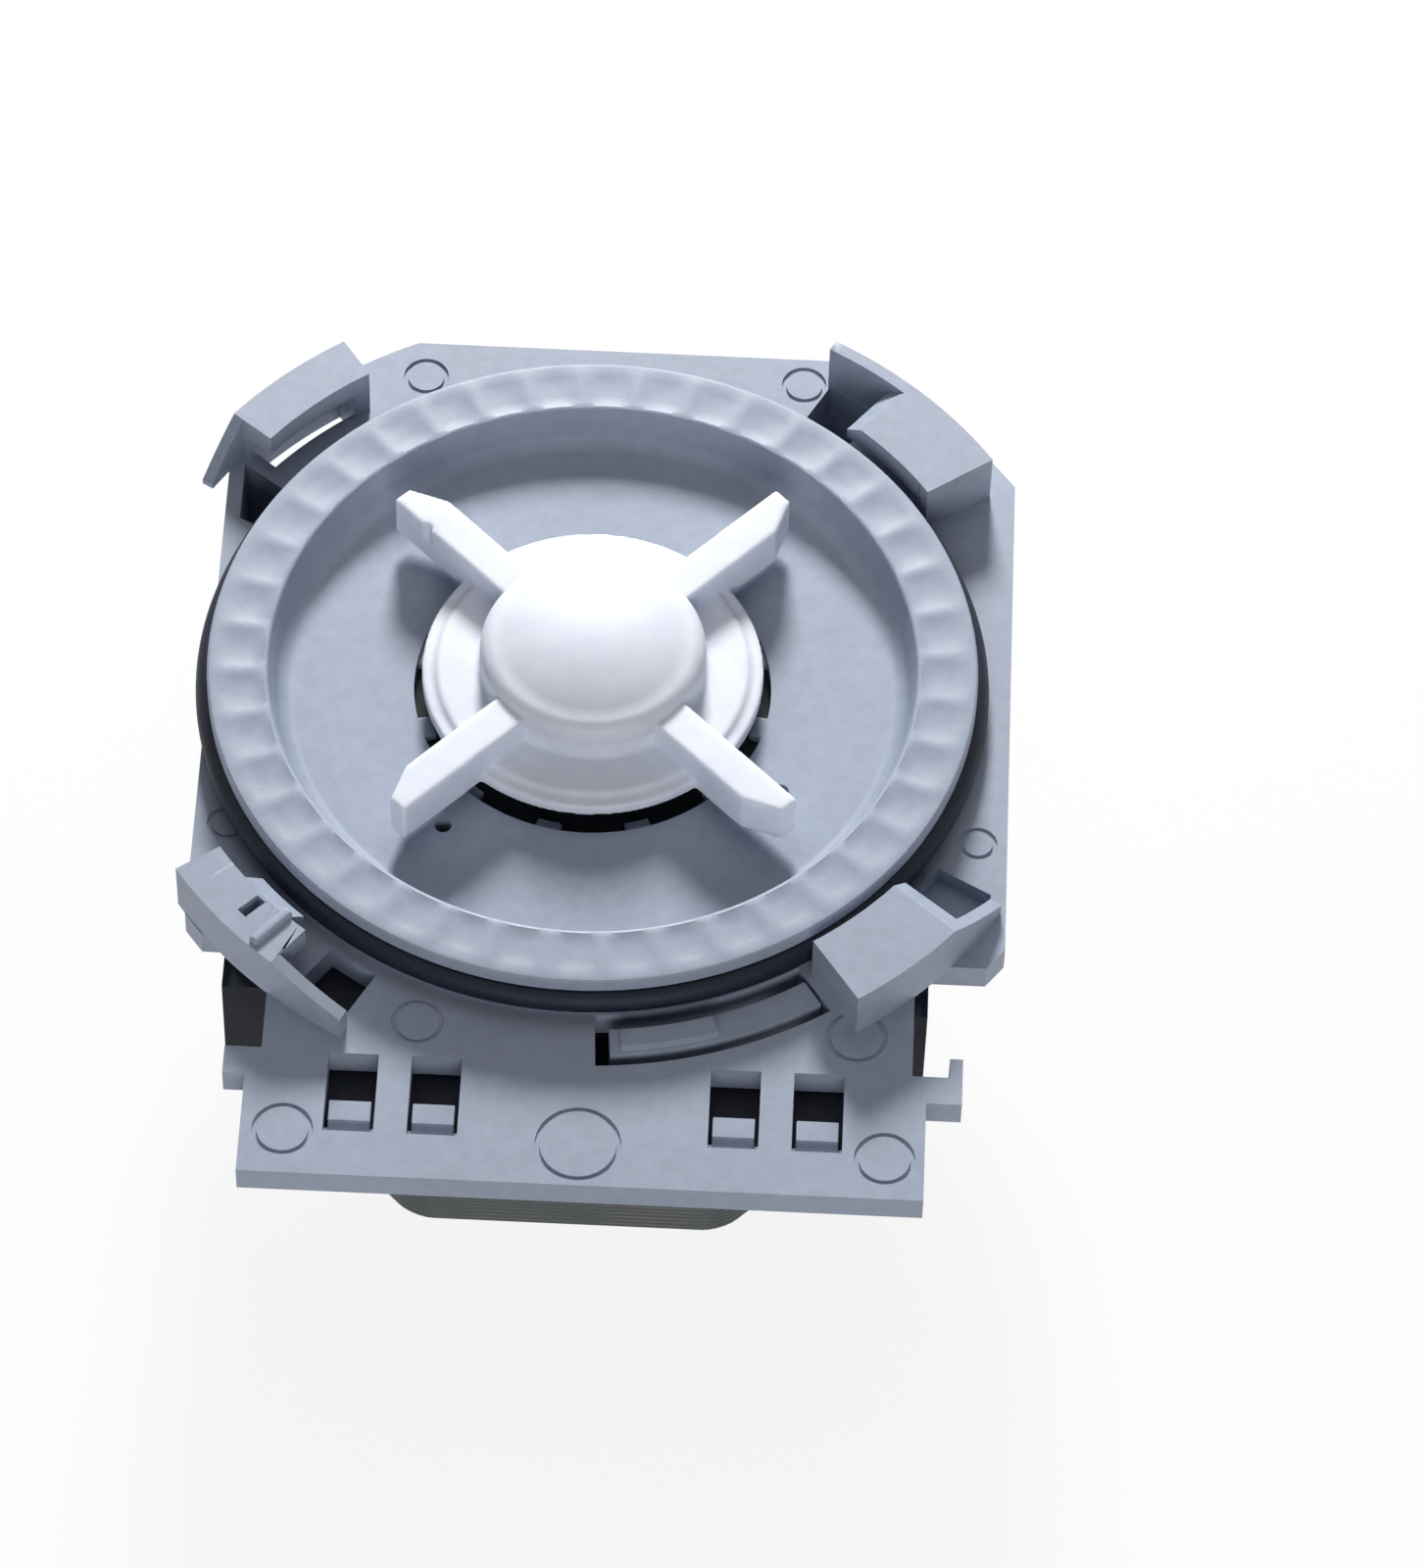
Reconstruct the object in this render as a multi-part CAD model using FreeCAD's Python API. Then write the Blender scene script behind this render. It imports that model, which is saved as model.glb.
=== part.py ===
import FreeCAD, Part
import math
import os

# Dishwasher drain pump, lying on its back. Millimetres.
# The origin is where the rotor axis meets the rim face of the round spigot.
# +Z is the rotor axis out of the wet side, +Y points away from the stator yoke.

# How far a cutting shape runs past the surface that it opens
overrun = 1.0

# Spigot: the round nose that plugs into the sump
spigot_r = 30.0
spigot_h = 4.2
lip_h = 1.2
recess_r = 25.2
recess_depth = 3.2
recess_draft = 0.5
recess_fillet = 1.3
rim_round = 0.35
flute_count = 40
flute_w = 3.4
flute_depth = 0.22
flute_margin = 0.6

# O-ring in the groove below the lip
o_ring_d = 2.2
o_ring_proud = 0.9
o_ring_clear = 0.02
groove_w = 2.6

# Front plate
plate_t = 2.4
plate_half_w = 31.4
plate_top = 34.6
shoulder_bottom = -24.3
plate_corner_r = 38.6
plate_shift = 1.3
neck_half_w = 24.6
foot_half_w = 25.7
foot_top = -34.4
foot_bottom = -45.5
ear_h = 2.4
left_ear_reach = 27.4
right_ear_reach = 28.4
ear_lip_w = 1.0
ear_lip_h = 1.7

# Bayonet lugs round the spigot, a quarter turn apart
lug_count = 4
lug_r = 37.5
lug_first_angle = 37.5
lug_angle = 15.0
lug_rise = 0.4
lug_wall = 1.6
shelf_t = 2.0
shelf_inner_wide = 31.3
shelf_inner_narrow = 33.6
lug_end_wall = 1.6
lug_lead_angle = 2.6
lug_lead_drop = 38.0
lug_tail_angles = (9.0, 6.5, 9.8, 7.0)
lug_tail_drops = (0.0, 45.0, 20.0, 30.0)
lug_tail_t = 1.0
slot_inset = 0.3
slot_angle = 13.8
entry_clear = 1.3
entry_start_angle = 16.0
entry_angle = 7.6
entry_tail_gap = 0.2
# What stays of the plate under each entry place: only the lower right one is a blind pocket
entry_floor_t = (0.0, 0.0, 0.0, 0.8)
entry_cup_depth = 6.0
entry_cup_wall = 1.2
split_gap_angle = 1.5
split_lead = 1.6
split_lead_start_angle = 3.5
split_lead_angle = 8.5

# Latch arm, which springs back to let the sump's lug pass
arm_root_angle = -56.3
arm_tip_angle = -84.9
arm_w = 2.4
arm_slot_clear = 0.2
arm_inner_gap = 1.3
arm_outer_gap = 0.9
arm_tip_gap_angle = 1.9
arm_root_gap_angle = 0.5
arm_bump_rise = 0.6
arm_bump_start_angle = 1.4
arm_bump_angle = 13.0
arm_bump_margin = 0.4

# Windows in the plate's foot, and the stator's snap hooks in them
window_inner_x = (9.4, 15.7)
window_w = 3.8
window_top = -34.6
window_bottom = -41.6
window_ledge = 1.0
window_ledge_t = 1.2
hook_clear = 0.2
hook_t = 1.8
hook_barb_t = 0.7
hook_side_clear = 0.3

# Ejector marks: x from the plate's middle, y and diameter of each shallow ring on the plate
ejector_marks = (
    (-0.3, -41.8, 6.5),
    (-22.5, -41.6, 4.6),
    (22.7, -41.9, 4.6),
    (-16.3, 31.2, 3.6),
    (14.2, 32.0, 3.6),
    (20.3, -31.0, 4.7),
    (-13.0, -31.4, 4.0),
    (29.1, -12.6, 3.0),
    (-28.9, -13.8, 3.0),
)
mark_groove_w = 0.35
mark_groove_depth = 0.2

# Small drain holes in the recess floor
drain_hole_d = 1.3
drain_hole_r = 17.6
drain_hole_angles = (232.0, 328.5)

# Rotor can behind the recess, and the carrier that closes its mouth
can_inner_r = 11.4
can_wall = 1.5
can_end_wall = 2.0
carrier_r = 13.9
carrier_clear = 0.05
carrier_sink = 1.2
carrier_disc_t = 1.6
carrier_rim_t = 2.2
carrier_depth = 4.0
carrier_lip_t = 0.6
carrier_lip_r = 3.2
carrier_hub_wall = 1.3
can_neck_wall = 1.4
can_neck_depth = 1.3
carrier_o_ring_d = 1.4
tab_count = 12
tab_first_angle = 18.0
tab_angle = 8.5
tab_reach = 1.1
tab_root = 0.5
tab_t = 0.7

# Bearings, each in a rubber boot
bearing_r = 4.5
bearing_len = 4.8
boot_t = 1.4
shaft_r = 2.0
shaft_clear = 0.03
washer_r = 3.9
washer_t = 0.8
end_play = 0.1

# Rotor
magnet_r = 10.8
magnet_len = 13.5
sleeve_r = 4.2
cap_r = 10.3
cap_t = 1.5
shaft_tail_clear = 0.6

# Impeller
flange_r = 13.3
flange_t = 1.4
flange_top = -0.4
blade_count = 4
blade_first_angle = 46.0
blade_w = 3.1
blade_r = 21.2
blade_root_r = 7.6
blade_top = 2.0
blade_tip_cut = 3.0
hub_r = 8.8
hub_wall = 1.5
hub_top = 1.2
hub_floor_t = 1.2
hub_bore_clear = 0.08
dome_top = 4.7
dome_curve_r = 17.0
dome_shoulder = 1.5
dome_roof_clear = 0.35

# Lost-motion coupling between the shaft and the impeller
dog_hub_r = 3.4
dog_r = 6.7
dog_half_angle = 30.0
dog_clear = 0.3
dog_top = 2.0
stop_half_angle = 30.0
stop_inner_r = 3.9
damper_angle = 10.0
damper_inner_r = 4.1

# Stator core, a stack of laminations bent round the can as a U
core_t = 12.5
core_can_gap = 0.4
leg_inner_x = 8.0
leg_outer_x = 19.0
leg_top = 9.0
yoke_t = 8.6
yoke_bottom = -36.6
yoke_cut = 7.0

# Coils and their housing
bobbin_wall = 0.9
bobbin_clear = 0.1
flange_wall = 1.0
winding_side = 3.0
winding_face = 2.3
winding_clear = 0.1
housing_wall = 1.0
housing_side_wall = 1.2
housing_gap = 0.3
coil_neck_gap = 0.3
coil_bottom = -27.2
rail_reach = 27.0
rail_top = -24.2
rail_back = -16.0
apron_t = 1.4
apron_half_w = 22.6
apron_bottom = -42.4
apron_cut_left = -0.6
apron_cut_right = 18.6
apron_cut_bottom = -34.2

# Terminals
terminal_t = 0.8
terminal_w = 6.3
terminal_x = 6.0
terminal_y = -21.3
terminal_slot_clear = 0.05
terminal_short = 1.0
shroud_half_w = 12.0
shroud_half_h = 4.7
shroud_wall = 1.2

# Thermal cut-out between the two coils
cutout_half_w = 3.7
cutout_len = 9.0
cutout_t = 4.0
cutout_clear = 0.2

# Clips at the back of the plate that hold the core's pole ends
clip_inner_x = 11.0
clip_outer_x = 16.0
clip_t = 2.0
clip_gap = 0.3
clip_barb = 1.8
clip_barb_t = 1.4

# Ribs on the back of the plate, over the upper half
rib_angles = (0.0, 45.0, 90.0, 135.0, 180.0)
rib_t = 1.4
rib_h = 3.0
rib_outer_r = 29.0
rib_root = 0.5

# Levels worked out from the sizes above
rim_z = 0.0
plate_front = rim_z - spigot_h
plate_back = plate_front - plate_t
floor_z = rim_z - recess_depth
groove_top = rim_z - lip_h
groove_bottom = groove_top - groove_w
groove_r = spigot_r + o_ring_proud - o_ring_d - o_ring_clear
lug_top = rim_z + lug_rise
slot_inner_r = shelf_inner_narrow + slot_inset
slot_outer_r = lug_r - lug_wall
entry_inner_r = spigot_r + entry_clear
entry_outer_r = lug_r - lug_tail_t - entry_tail_gap
arm_slot_inner_r = spigot_r + arm_slot_clear
arm_inner_r = arm_slot_inner_r + arm_inner_gap
arm_outer_r = arm_inner_r + arm_w
arm_slot_outer_r = arm_outer_r + arm_outer_gap

carrier_top = floor_z - carrier_sink
carrier_seat = carrier_top - carrier_depth
seat_r = carrier_r + carrier_clear
boot_r = bearing_r + boot_t
carrier_hub_r = boot_r + carrier_hub_wall
front_bearing_top = carrier_top - carrier_lip_t
front_bearing_bottom = front_bearing_top - bearing_len

front_washer_top = front_bearing_bottom - end_play
front_cap_top = front_washer_top - washer_t
magnet_top = front_cap_top - cap_t
magnet_bottom = magnet_top - magnet_len
rear_cap_bottom = magnet_bottom - cap_t
rear_washer_bottom = rear_cap_bottom - washer_t
rear_bearing_top = rear_washer_bottom - end_play
rear_bearing_bottom = rear_bearing_top - bearing_len
can_floor = rear_bearing_bottom - shaft_tail_clear
can_back = can_floor - can_end_wall
can_outer_r = can_inner_r + can_wall
can_neck_r = seat_r + can_neck_wall
can_neck_bottom = carrier_seat - can_neck_depth

flange_bottom = flange_top - flange_t
cavity_floor = flange_bottom + hub_floor_t
cavity_r = hub_r - hub_wall
dog_bottom = cavity_floor + dog_clear

housing_front = plate_back - housing_gap
coil_inner_front = housing_front - housing_wall
core_front = coil_inner_front - winding_clear - winding_face - bobbin_wall - bobbin_clear
core_back = core_front - core_t
coil_inner_back = core_back - bobbin_clear - bobbin_wall - winding_face - winding_clear
housing_back = coil_inner_back - housing_wall
core_bore_r = can_outer_r + core_can_gap
yoke_top = yoke_bottom + yoke_t
apron_back = housing_front - apron_t
bobbin_inner_x = leg_inner_x - bobbin_clear
bobbin_outer_x = leg_outer_x + bobbin_clear
coil_side_x = bobbin_outer_x + bobbin_wall + winding_side + winding_clear
housing_side_x = coil_side_x + housing_side_wall
coil_top = -can_neck_r - coil_neck_gap
bobbin_low = coil_bottom + housing_wall
bobbin_high = coil_top - flange_wall

turn_step = 360.0 / lug_count
z_axis = FreeCAD.Vector(0, 0, 1)
origin = FreeCAD.Vector(0, 0, 0)


def point(x, y, z):
    return FreeCAD.Vector(x, y, z)


def block(x0, x1, y0, y1, z0, z1):
    return Part.makeBox(x1 - x0, y1 - y0, z1 - z0, point(x0, y0, z0))


def disc(r, z0, z1):
    return Part.makeCylinder(r, z1 - z0, point(0, 0, z0), z_axis)


def ring(inner_r, outer_r, z0, z1):
    return disc(outer_r, z0, z1).cut(disc(inner_r, z0, z1))


def turned(shape, degrees):
    copy = shape.copy()
    copy.rotate(origin, z_axis, degrees)
    return copy


def sector(inner_r, outer_r, start, span, z0, z1):
    wedge = Part.makeCylinder(outer_r, z1 - z0, point(0, 0, z0), z_axis, span)
    return turned(wedge.cut(disc(inner_r, z0, z1)), start)


def fused(shapes):
    return shapes[0].multiFuse(shapes[1:]).removeSplitter()


def prism(corners, z0, z1):
    """A flat outline of x, y corners, raised from z0 to z1."""
    loop = [point(x, y, z0) for x, y in corners]
    face = Part.Face(Part.makePolygon(loop + [loop[0]]))
    return face.extrude(point(0, 0, z1 - z0))


def line(a, b):
    return Part.makeLine(point(a[0], 0, a[1]), point(b[0], 0, b[1]))


def arc(a, middle, b):
    ends = [point(p[0], 0, p[1]) for p in (a, middle, b)]
    return Part.Arc(*ends).toShape()


def revolved(edges):
    face = Part.Face(Part.Wire(edges))
    return face.revolve(origin, z_axis, 360)


def recess_solid():
    """The space of the round recess, with its rounded rim and floor corner."""
    wall_foot = (recess_r - recess_draft, floor_z + recess_fillet)
    floor_edge = (wall_foot[0] - recess_fillet, floor_z)
    bend = recess_fillet * math.cos(math.radians(45))
    corner = (floor_edge[0] + bend, wall_foot[1] - bend)
    rim_low = (recess_r, rim_z - rim_round)
    rim_out = (recess_r + rim_round, rim_z)
    lift = rim_round * math.cos(math.radians(45))
    rim_bend = (rim_out[0] - lift, rim_low[1] + lift)
    return revolved([
        line((0, floor_z), floor_edge),
        arc(floor_edge, corner, wall_foot),
        line(wall_foot, rim_low),
        arc(rim_low, rim_bend, rim_out),
        line(rim_out, (0, rim_z)),
        line((0, rim_z), (0, floor_z)),
    ])


def flute_tools():
    """Shallow radial grooves round the rim face."""
    r = (flute_w ** 2 / 4 + flute_depth ** 2) / (2 * flute_depth)
    start = recess_r - rim_round
    length = spigot_r - flute_margin - start
    height = rim_z + r - flute_depth
    one = Part.makeCylinder(r, length, point(start, 0, height), point(1, 0, 0))
    step = 360.0 / flute_count
    return Part.makeCompound([turned(one, i * step) for i in range(flute_count)])


def spigot():
    body = disc(spigot_r, plate_back, rim_z)
    groove = ring(groove_r, spigot_r + overrun, groove_bottom, groove_top)
    return body.cut(groove)


def plate():
    upper = block(-plate_half_w, plate_half_w, shoulder_bottom, plate_top, plate_back, plate_front)
    upper = upper.common(disc(plate_corner_r, plate_back, plate_front))
    neck = block(-neck_half_w, neck_half_w, foot_top, 0, plate_back, plate_front)
    foot = block(-foot_half_w, foot_half_w, foot_bottom, foot_top, plate_back, plate_front)
    ears = block(-left_ear_reach, right_ear_reach, foot_top - ear_h, foot_top, plate_back, plate_front)
    lip_x = right_ear_reach - ear_lip_w
    lip = block(lip_x, right_ear_reach, foot_top, foot_top + ear_lip_h, plate_back, plate_front)
    whole = fused([upper, neck, foot, ears, lip])
    whole.translate(point(plate_shift, 0, 0))
    return whole


def sloped_sector(inner_r, outer_r, start, span, z0, z1, drop):
    """A sector whose top falls by the angle drop from its start on."""
    body = sector(inner_r, outer_r, 0, span, z0, z1)
    reach = 2 * outer_r
    cutter = block(-reach, reach, 0, reach, 0, reach)
    cutter.rotate(origin, point(1, 0, 0), -drop)
    cutter.translate(point(0, 0, z1))
    return turned(body.cut(cutter), start)


def wide_shelf(start):
    """A shelf that reaches in to the spigot, with a lead-in slope at its open end."""
    level_angle = lug_angle - lug_lead_angle
    return [
        sector(shelf_inner_wide, lug_r, start, level_angle, lug_top - shelf_t, lug_top),
        sloped_sector(
            shelf_inner_wide, lug_r, start + level_angle, lug_lead_angle,
            lug_top - shelf_t, lug_top, lug_lead_drop,
        ),
    ]


def split_shelf(start):
    """The lower left lug: two short blocks joined by a sloping lead-in strip."""
    low = lug_top - shelf_t
    half = (lug_angle - split_gap_angle) / 2
    blocks = [
        sector(shelf_inner_narrow, lug_r, first, half, low, lug_top)
        for first in (start, start + half + split_gap_angle)
    ]
    strip_inner_r = shelf_inner_narrow - split_lead
    strip = sector(
        strip_inner_r, shelf_inner_narrow, start + split_lead_start_angle, split_lead_angle,
        low, lug_top,
    )
    slope = Part.makeCone(
        strip_inner_r, shelf_inner_narrow, split_lead, point(0, 0, lug_top - split_lead), z_axis,
    )
    return blocks + [strip.cut(slope)]


def lug(index):
    """One bayonet lug: shelf, outer wall, closed end and tail."""
    start = lug_first_angle + index * turn_step
    end_span = math.degrees(lug_end_wall / lug_r)
    tail_start = start + lug_angle
    inner_r = shelf_inner_narrow
    if index in (0, 3):
        inner_r = shelf_inner_wide
        tail_start -= lug_lead_angle
        pieces = wide_shelf(start)
    elif index == 2:
        pieces = split_shelf(start)
    else:
        pieces = [sector(inner_r, lug_r, start, lug_angle, lug_top - shelf_t, lug_top)]
    tail_end = start + lug_angle + lug_tail_angles[index]
    pieces += [
        sector(inner_r, lug_r, start - end_span, end_span, plate_front, lug_top),
        sector(lug_r - lug_wall, lug_r, start, tail_start - start, plate_front, lug_top),
        sloped_sector(
            lug_r - lug_tail_t, lug_r, tail_start, tail_end - tail_start,
            plate_front, lug_top, lug_tail_drops[index],
        ),
    ]
    return fused(pieces)


def entry_shape(index, grow, z0, z1):
    """An entry place as an upright shape, kept inside the plate's edges by the cup's wall."""
    start = lug_first_angle + index * turn_step + entry_start_angle
    side = math.degrees(grow / entry_outer_r)
    body = sector(
        entry_inner_r - grow, entry_outer_r + grow, start - side, entry_angle + 2 * side, z0, z1,
    )
    reach = plate_half_w - entry_cup_wall + grow
    return body.common(block(plate_shift - reach, plate_shift + reach, -lug_r, lug_r, z0, z1))


def lug_openings():
    """Through slots under the shelves, and the places where the sump's lugs enter."""
    tools = []
    for index in range(lug_count):
        start = lug_first_angle + index * turn_step
        tools.append(sector(slot_inner_r, slot_outer_r, start, slot_angle, plate_back, plate_front))
        tools.append(entry_shape(index, 0, plate_back + entry_floor_t[index], plate_front))
    return Part.makeCompound(tools)


def entry_cup(index):
    """A cup behind an entry place, open to the front, with walls up to the plate's face."""
    bottom = plate_back - entry_cup_depth
    outside = entry_shape(index, entry_cup_wall, bottom, plate_front)
    return outside.cut(entry_shape(index, 0, bottom + entry_cup_wall, plate_front))


def window_edges():
    edges = []
    for near in window_inner_x:
        edges.append((plate_shift + near, plate_shift + near + window_w))
        edges.append((plate_shift - near - window_w, plate_shift - near))
    return edges


def window_tools():
    tools = []
    ledge_top = plate_back + window_ledge_t
    for x0, x1 in window_edges():
        tools.append(block(x0, x1, window_bottom + window_ledge, window_top, plate_back, plate_front))
        tools.append(block(x0, x1, window_bottom, window_top, ledge_top, plate_front))
    return Part.makeCompound(tools)


def mark_tools():
    tools = []
    low = plate_front - mark_groove_depth
    for x, y, diameter in ejector_marks:
        groove = ring(diameter / 2 - mark_groove_w, diameter / 2, low, plate_front)
        groove.translate(point(plate_shift + x, y, 0))
        tools.append(groove)
    return Part.makeCompound(tools)


def drain_tools():
    tools = []
    for angle in drain_hole_angles:
        hole = Part.makeCylinder(
            drain_hole_d / 2, floor_z - plate_back, point(drain_hole_r, 0, plate_back), z_axis,
        )
        tools.append(turned(hole, angle))
    return Part.makeCompound(tools)


def arm_opening():
    start = arm_tip_angle - arm_tip_gap_angle
    span = arm_root_angle + arm_root_gap_angle - start
    return sector(arm_slot_inner_r, arm_slot_outer_r, start, span, plate_back, plate_front)


def rotor_can():
    """Neck, tube and closed end of the can, with the rear bearing's pocket."""
    neck = disc(can_neck_r, can_neck_bottom, plate_back)
    tube = disc(can_outer_r, can_back, plate_back)
    shell = neck.fuse(tube)
    shell = shell.cut(disc(can_inner_r, can_floor, carrier_seat))
    shell = shell.cut(disc(seat_r, carrier_seat, plate_back))
    pocket = ring(boot_r, boot_r + carrier_hub_wall, can_floor, rear_bearing_top)
    return shell.fuse(pocket)


def carrier_tabs():
    """Small tabs round the can's mouth that hold the bearing carrier down."""
    step = 360.0 / tab_count
    start = tab_first_angle - tab_angle / 2
    low = carrier_top
    inner_r = seat_r - tab_reach
    outer_r = seat_r + tab_root
    return [
        sector(inner_r, outer_r, start + i * step, tab_angle, low, low + tab_t)
        for i in range(tab_count)
    ]


def plate_ribs():
    ribs = []
    for angle in rib_angles:
        inner = can_neck_r - rib_root
        rib = block(inner, rib_outer_r, -rib_t / 2, rib_t / 2, plate_back - rib_h, plate_back)
        ribs.append(turned(rib, angle))
    return ribs


def core_clips():
    clips = []
    low = leg_top + clip_gap
    back = core_back - clip_gap - clip_barb_t
    for side in (-1, 1):
        x0, x1 = sorted((side * clip_inner_x, side * clip_outer_x))
        clips.append(block(x0, x1, low, low + clip_t, back, plate_back))
        clips.append(block(x0, x1, low - clip_barb, low, back, back + clip_barb_t))
    return clips


def front_housing():
    body = fused([plate(), spigot()])
    body = body.cut(recess_solid())
    body = body.cut(flute_tools())
    body = body.cut(disc(seat_r, plate_back, floor_z))
    body = body.cut(lug_openings())
    body = body.cut(arm_opening())
    body = body.cut(window_tools())
    body = body.cut(mark_tools())
    body = body.cut(drain_tools())
    added = [lug(index) for index in range(lug_count)]
    added += [entry_cup(0), entry_cup(1), rotor_can()]
    added += carrier_tabs() + plate_ribs() + core_clips()
    return fused([body] + added)


def latch_arm():
    span = arm_root_angle - arm_tip_angle
    arm = sector(arm_inner_r, arm_outer_r, arm_tip_angle, span, plate_back, plate_front)
    bump = sector(
        arm_inner_r + arm_bump_margin, arm_outer_r - arm_bump_margin,
        arm_tip_angle + arm_bump_start_angle, arm_bump_angle, plate_front, plate_front + arm_bump_rise,
    )
    return fused([arm, bump])


def spigot_o_ring():
    middle = (groove_top + groove_bottom) / 2
    centre_r = groove_r + o_ring_clear + o_ring_d / 2
    return Part.makeTorus(centre_r, o_ring_d / 2, point(0, 0, middle), z_axis)


def carrier_groove_r():
    return carrier_r - carrier_o_ring_d + carrier_clear / 2


def carrier_groove_level():
    return (carrier_top - carrier_disc_t + carrier_seat) / 2


def bearing_carrier():
    disc_low = carrier_top - carrier_disc_t
    body = disc(carrier_r, carrier_seat, carrier_top)
    body = body.cut(disc(carrier_r - carrier_rim_t, carrier_seat, disc_low))
    body = body.fuse(disc(carrier_hub_r, front_bearing_bottom, disc_low))
    body = body.cut(disc(boot_r, front_bearing_bottom, front_bearing_top))
    body = body.cut(disc(carrier_lip_r, front_bearing_bottom, carrier_top))
    half = carrier_o_ring_d / 2 + carrier_clear
    level = carrier_groove_level()
    groove = ring(carrier_groove_r(), carrier_r + overrun, level - half, level + half)
    return body.cut(groove)


def carrier_o_ring():
    centre_r = carrier_groove_r() + carrier_o_ring_d / 2
    return Part.makeTorus(centre_r, carrier_o_ring_d / 2, point(0, 0, carrier_groove_level()), z_axis)


def bearing(top):
    return ring(shaft_r + shaft_clear, bearing_r, top - bearing_len, top)


def boot(top):
    return ring(bearing_r, boot_r, top - bearing_len, top)


def rotor_shaft():
    return disc(shaft_r, can_floor + shaft_tail_clear, dog_top)


def drive_dog():
    hub = ring(shaft_r, dog_hub_r, dog_bottom, dog_top)
    lobe = sector(shaft_r, dog_r, -dog_half_angle, 2 * dog_half_angle, dog_bottom, dog_top)
    return fused([hub, lobe])


def blade():
    """One straight blade along +X, with the leading corner of its tip cut off."""
    half = blade_w / 2
    cut = blade_tip_cut
    corners = (
        (blade_root_r, -half),
        (blade_r - cut, -half),
        (blade_r, -half + cut / 2),
        (blade_r, half),
        (blade_root_r, half),
    )
    return prism(corners, flange_bottom, blade_top)


def impeller():
    step = 360.0 / blade_count
    blades = [turned(blade(), blade_first_angle + i * step) for i in range(blade_count)]
    body = fused([disc(flange_r, flange_bottom, flange_top), disc(hub_r, flange_bottom, hub_top)] + blades)
    body = body.cut(disc(cavity_r, cavity_floor, blade_top))
    body = body.cut(disc(hub_r, hub_top, blade_top))
    body = body.cut(disc(shaft_r + hub_bore_clear, flange_bottom, cavity_floor))
    stop = sector(
        stop_inner_r, cavity_r, 180 - stop_half_angle, 2 * stop_half_angle, cavity_floor, hub_top,
    )
    return fused([body, stop])


def coupling_damper():
    """A rubber pad on each side of the impeller's stop."""
    pads = []
    for start in (180 - stop_half_angle - damper_angle, 180 + stop_half_angle):
        pads.append(sector(
            damper_inner_r, cavity_r, start, damper_angle, cavity_floor, hub_top,
        ))
    return Part.makeCompound(pads)


def impeller_hub_cover():
    crown = Part.makeSphere(dome_curve_r, point(0, 0, dome_top - dome_curve_r))
    dome = disc(hub_r, hub_top, dome_top).common(crown)
    shoulder = [
        edge for edge in dome.Edges
        if edge.BoundBox.ZMin > hub_top and edge.BoundBox.XLength > hub_r
    ]
    dome = dome.makeFillet(dome_shoulder, shoulder)
    roof = dog_top + dome_roof_clear
    dome = dome.cut(disc(cavity_r, hub_top, dog_top))
    return dome.cut(disc(dog_r + dog_clear, hub_top, roof))


def stator_core():
    low_x = leg_outer_x - yoke_cut
    cut_y = yoke_bottom + yoke_cut
    outline = (
        (-leg_outer_x, leg_top),
        (-leg_outer_x, cut_y),
        (-low_x, yoke_bottom),
        (low_x, yoke_bottom),
        (leg_outer_x, cut_y),
        (leg_outer_x, leg_top),
        (leg_inner_x, leg_top),
        (leg_inner_x, yoke_top),
        (-leg_inner_x, yoke_top),
        (-leg_inner_x, leg_top),
    )
    return prism(outline, core_back, core_front).cut(disc(core_bore_r, core_back, core_front))


def side_block(side, near, far, y0, y1, z0, z1):
    x0, x1 = sorted((side * near, side * far))
    return block(x0, x1, y0, y1, z0, z1)


def bobbin(side):
    near = bobbin_inner_x - bobbin_wall
    far = bobbin_outer_x + bobbin_wall
    front = core_front + bobbin_clear + bobbin_wall
    back = core_back - bobbin_clear - bobbin_wall
    tube = side_block(side, near, far, bobbin_low, bobbin_high, back, front)
    flanges = []
    for low in (bobbin_low, bobbin_high - flange_wall):
        flanges.append(side_block(
            side, near - winding_side, far + winding_side, low, low + flange_wall,
            back - winding_face, front + winding_face,
        ))
    passage = side_block(
        side, bobbin_inner_x, bobbin_outer_x, bobbin_low, bobbin_high,
        core_back - bobbin_clear, core_front + bobbin_clear,
    )
    return fused([tube] + flanges).cut(passage)


def winding(side):
    near = bobbin_inner_x - bobbin_wall
    far = bobbin_outer_x + bobbin_wall
    front = core_front + bobbin_clear + bobbin_wall
    back = core_back - bobbin_clear - bobbin_wall
    low = bobbin_low + flange_wall
    high = bobbin_high - flange_wall
    outside = side_block(
        side, near - winding_side, far + winding_side, low, high,
        back - winding_face, front + winding_face,
    )
    return outside.cut(side_block(side, near, far, low, high, back, front))


def snap_hook(x0, x1):
    """A stem that reaches into a window, with a barb over the window's ledge."""
    left = x0 + hook_side_clear
    right = x1 - hook_side_clear
    stem_low = window_bottom + window_ledge + hook_clear
    ledge_top = plate_back + window_ledge_t
    barb_low = ledge_top + hook_clear / 2
    stem = block(left, right, stem_low, stem_low + hook_t, apron_back, barb_low + hook_barb_t)
    barb = block(left, right, window_bottom + hook_clear, stem_low, barb_low, barb_low + hook_barb_t)
    return stem.fuse(barb)


def apron():
    left = plate_shift - apron_half_w
    right = plate_shift + apron_half_w
    sheet = block(left, right, apron_bottom, coil_bottom, apron_back, housing_front)
    opening = block(
        apron_cut_left, apron_cut_right, apron_cut_bottom, coil_bottom, apron_back, housing_front,
    )
    return sheet.cut(opening)


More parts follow.
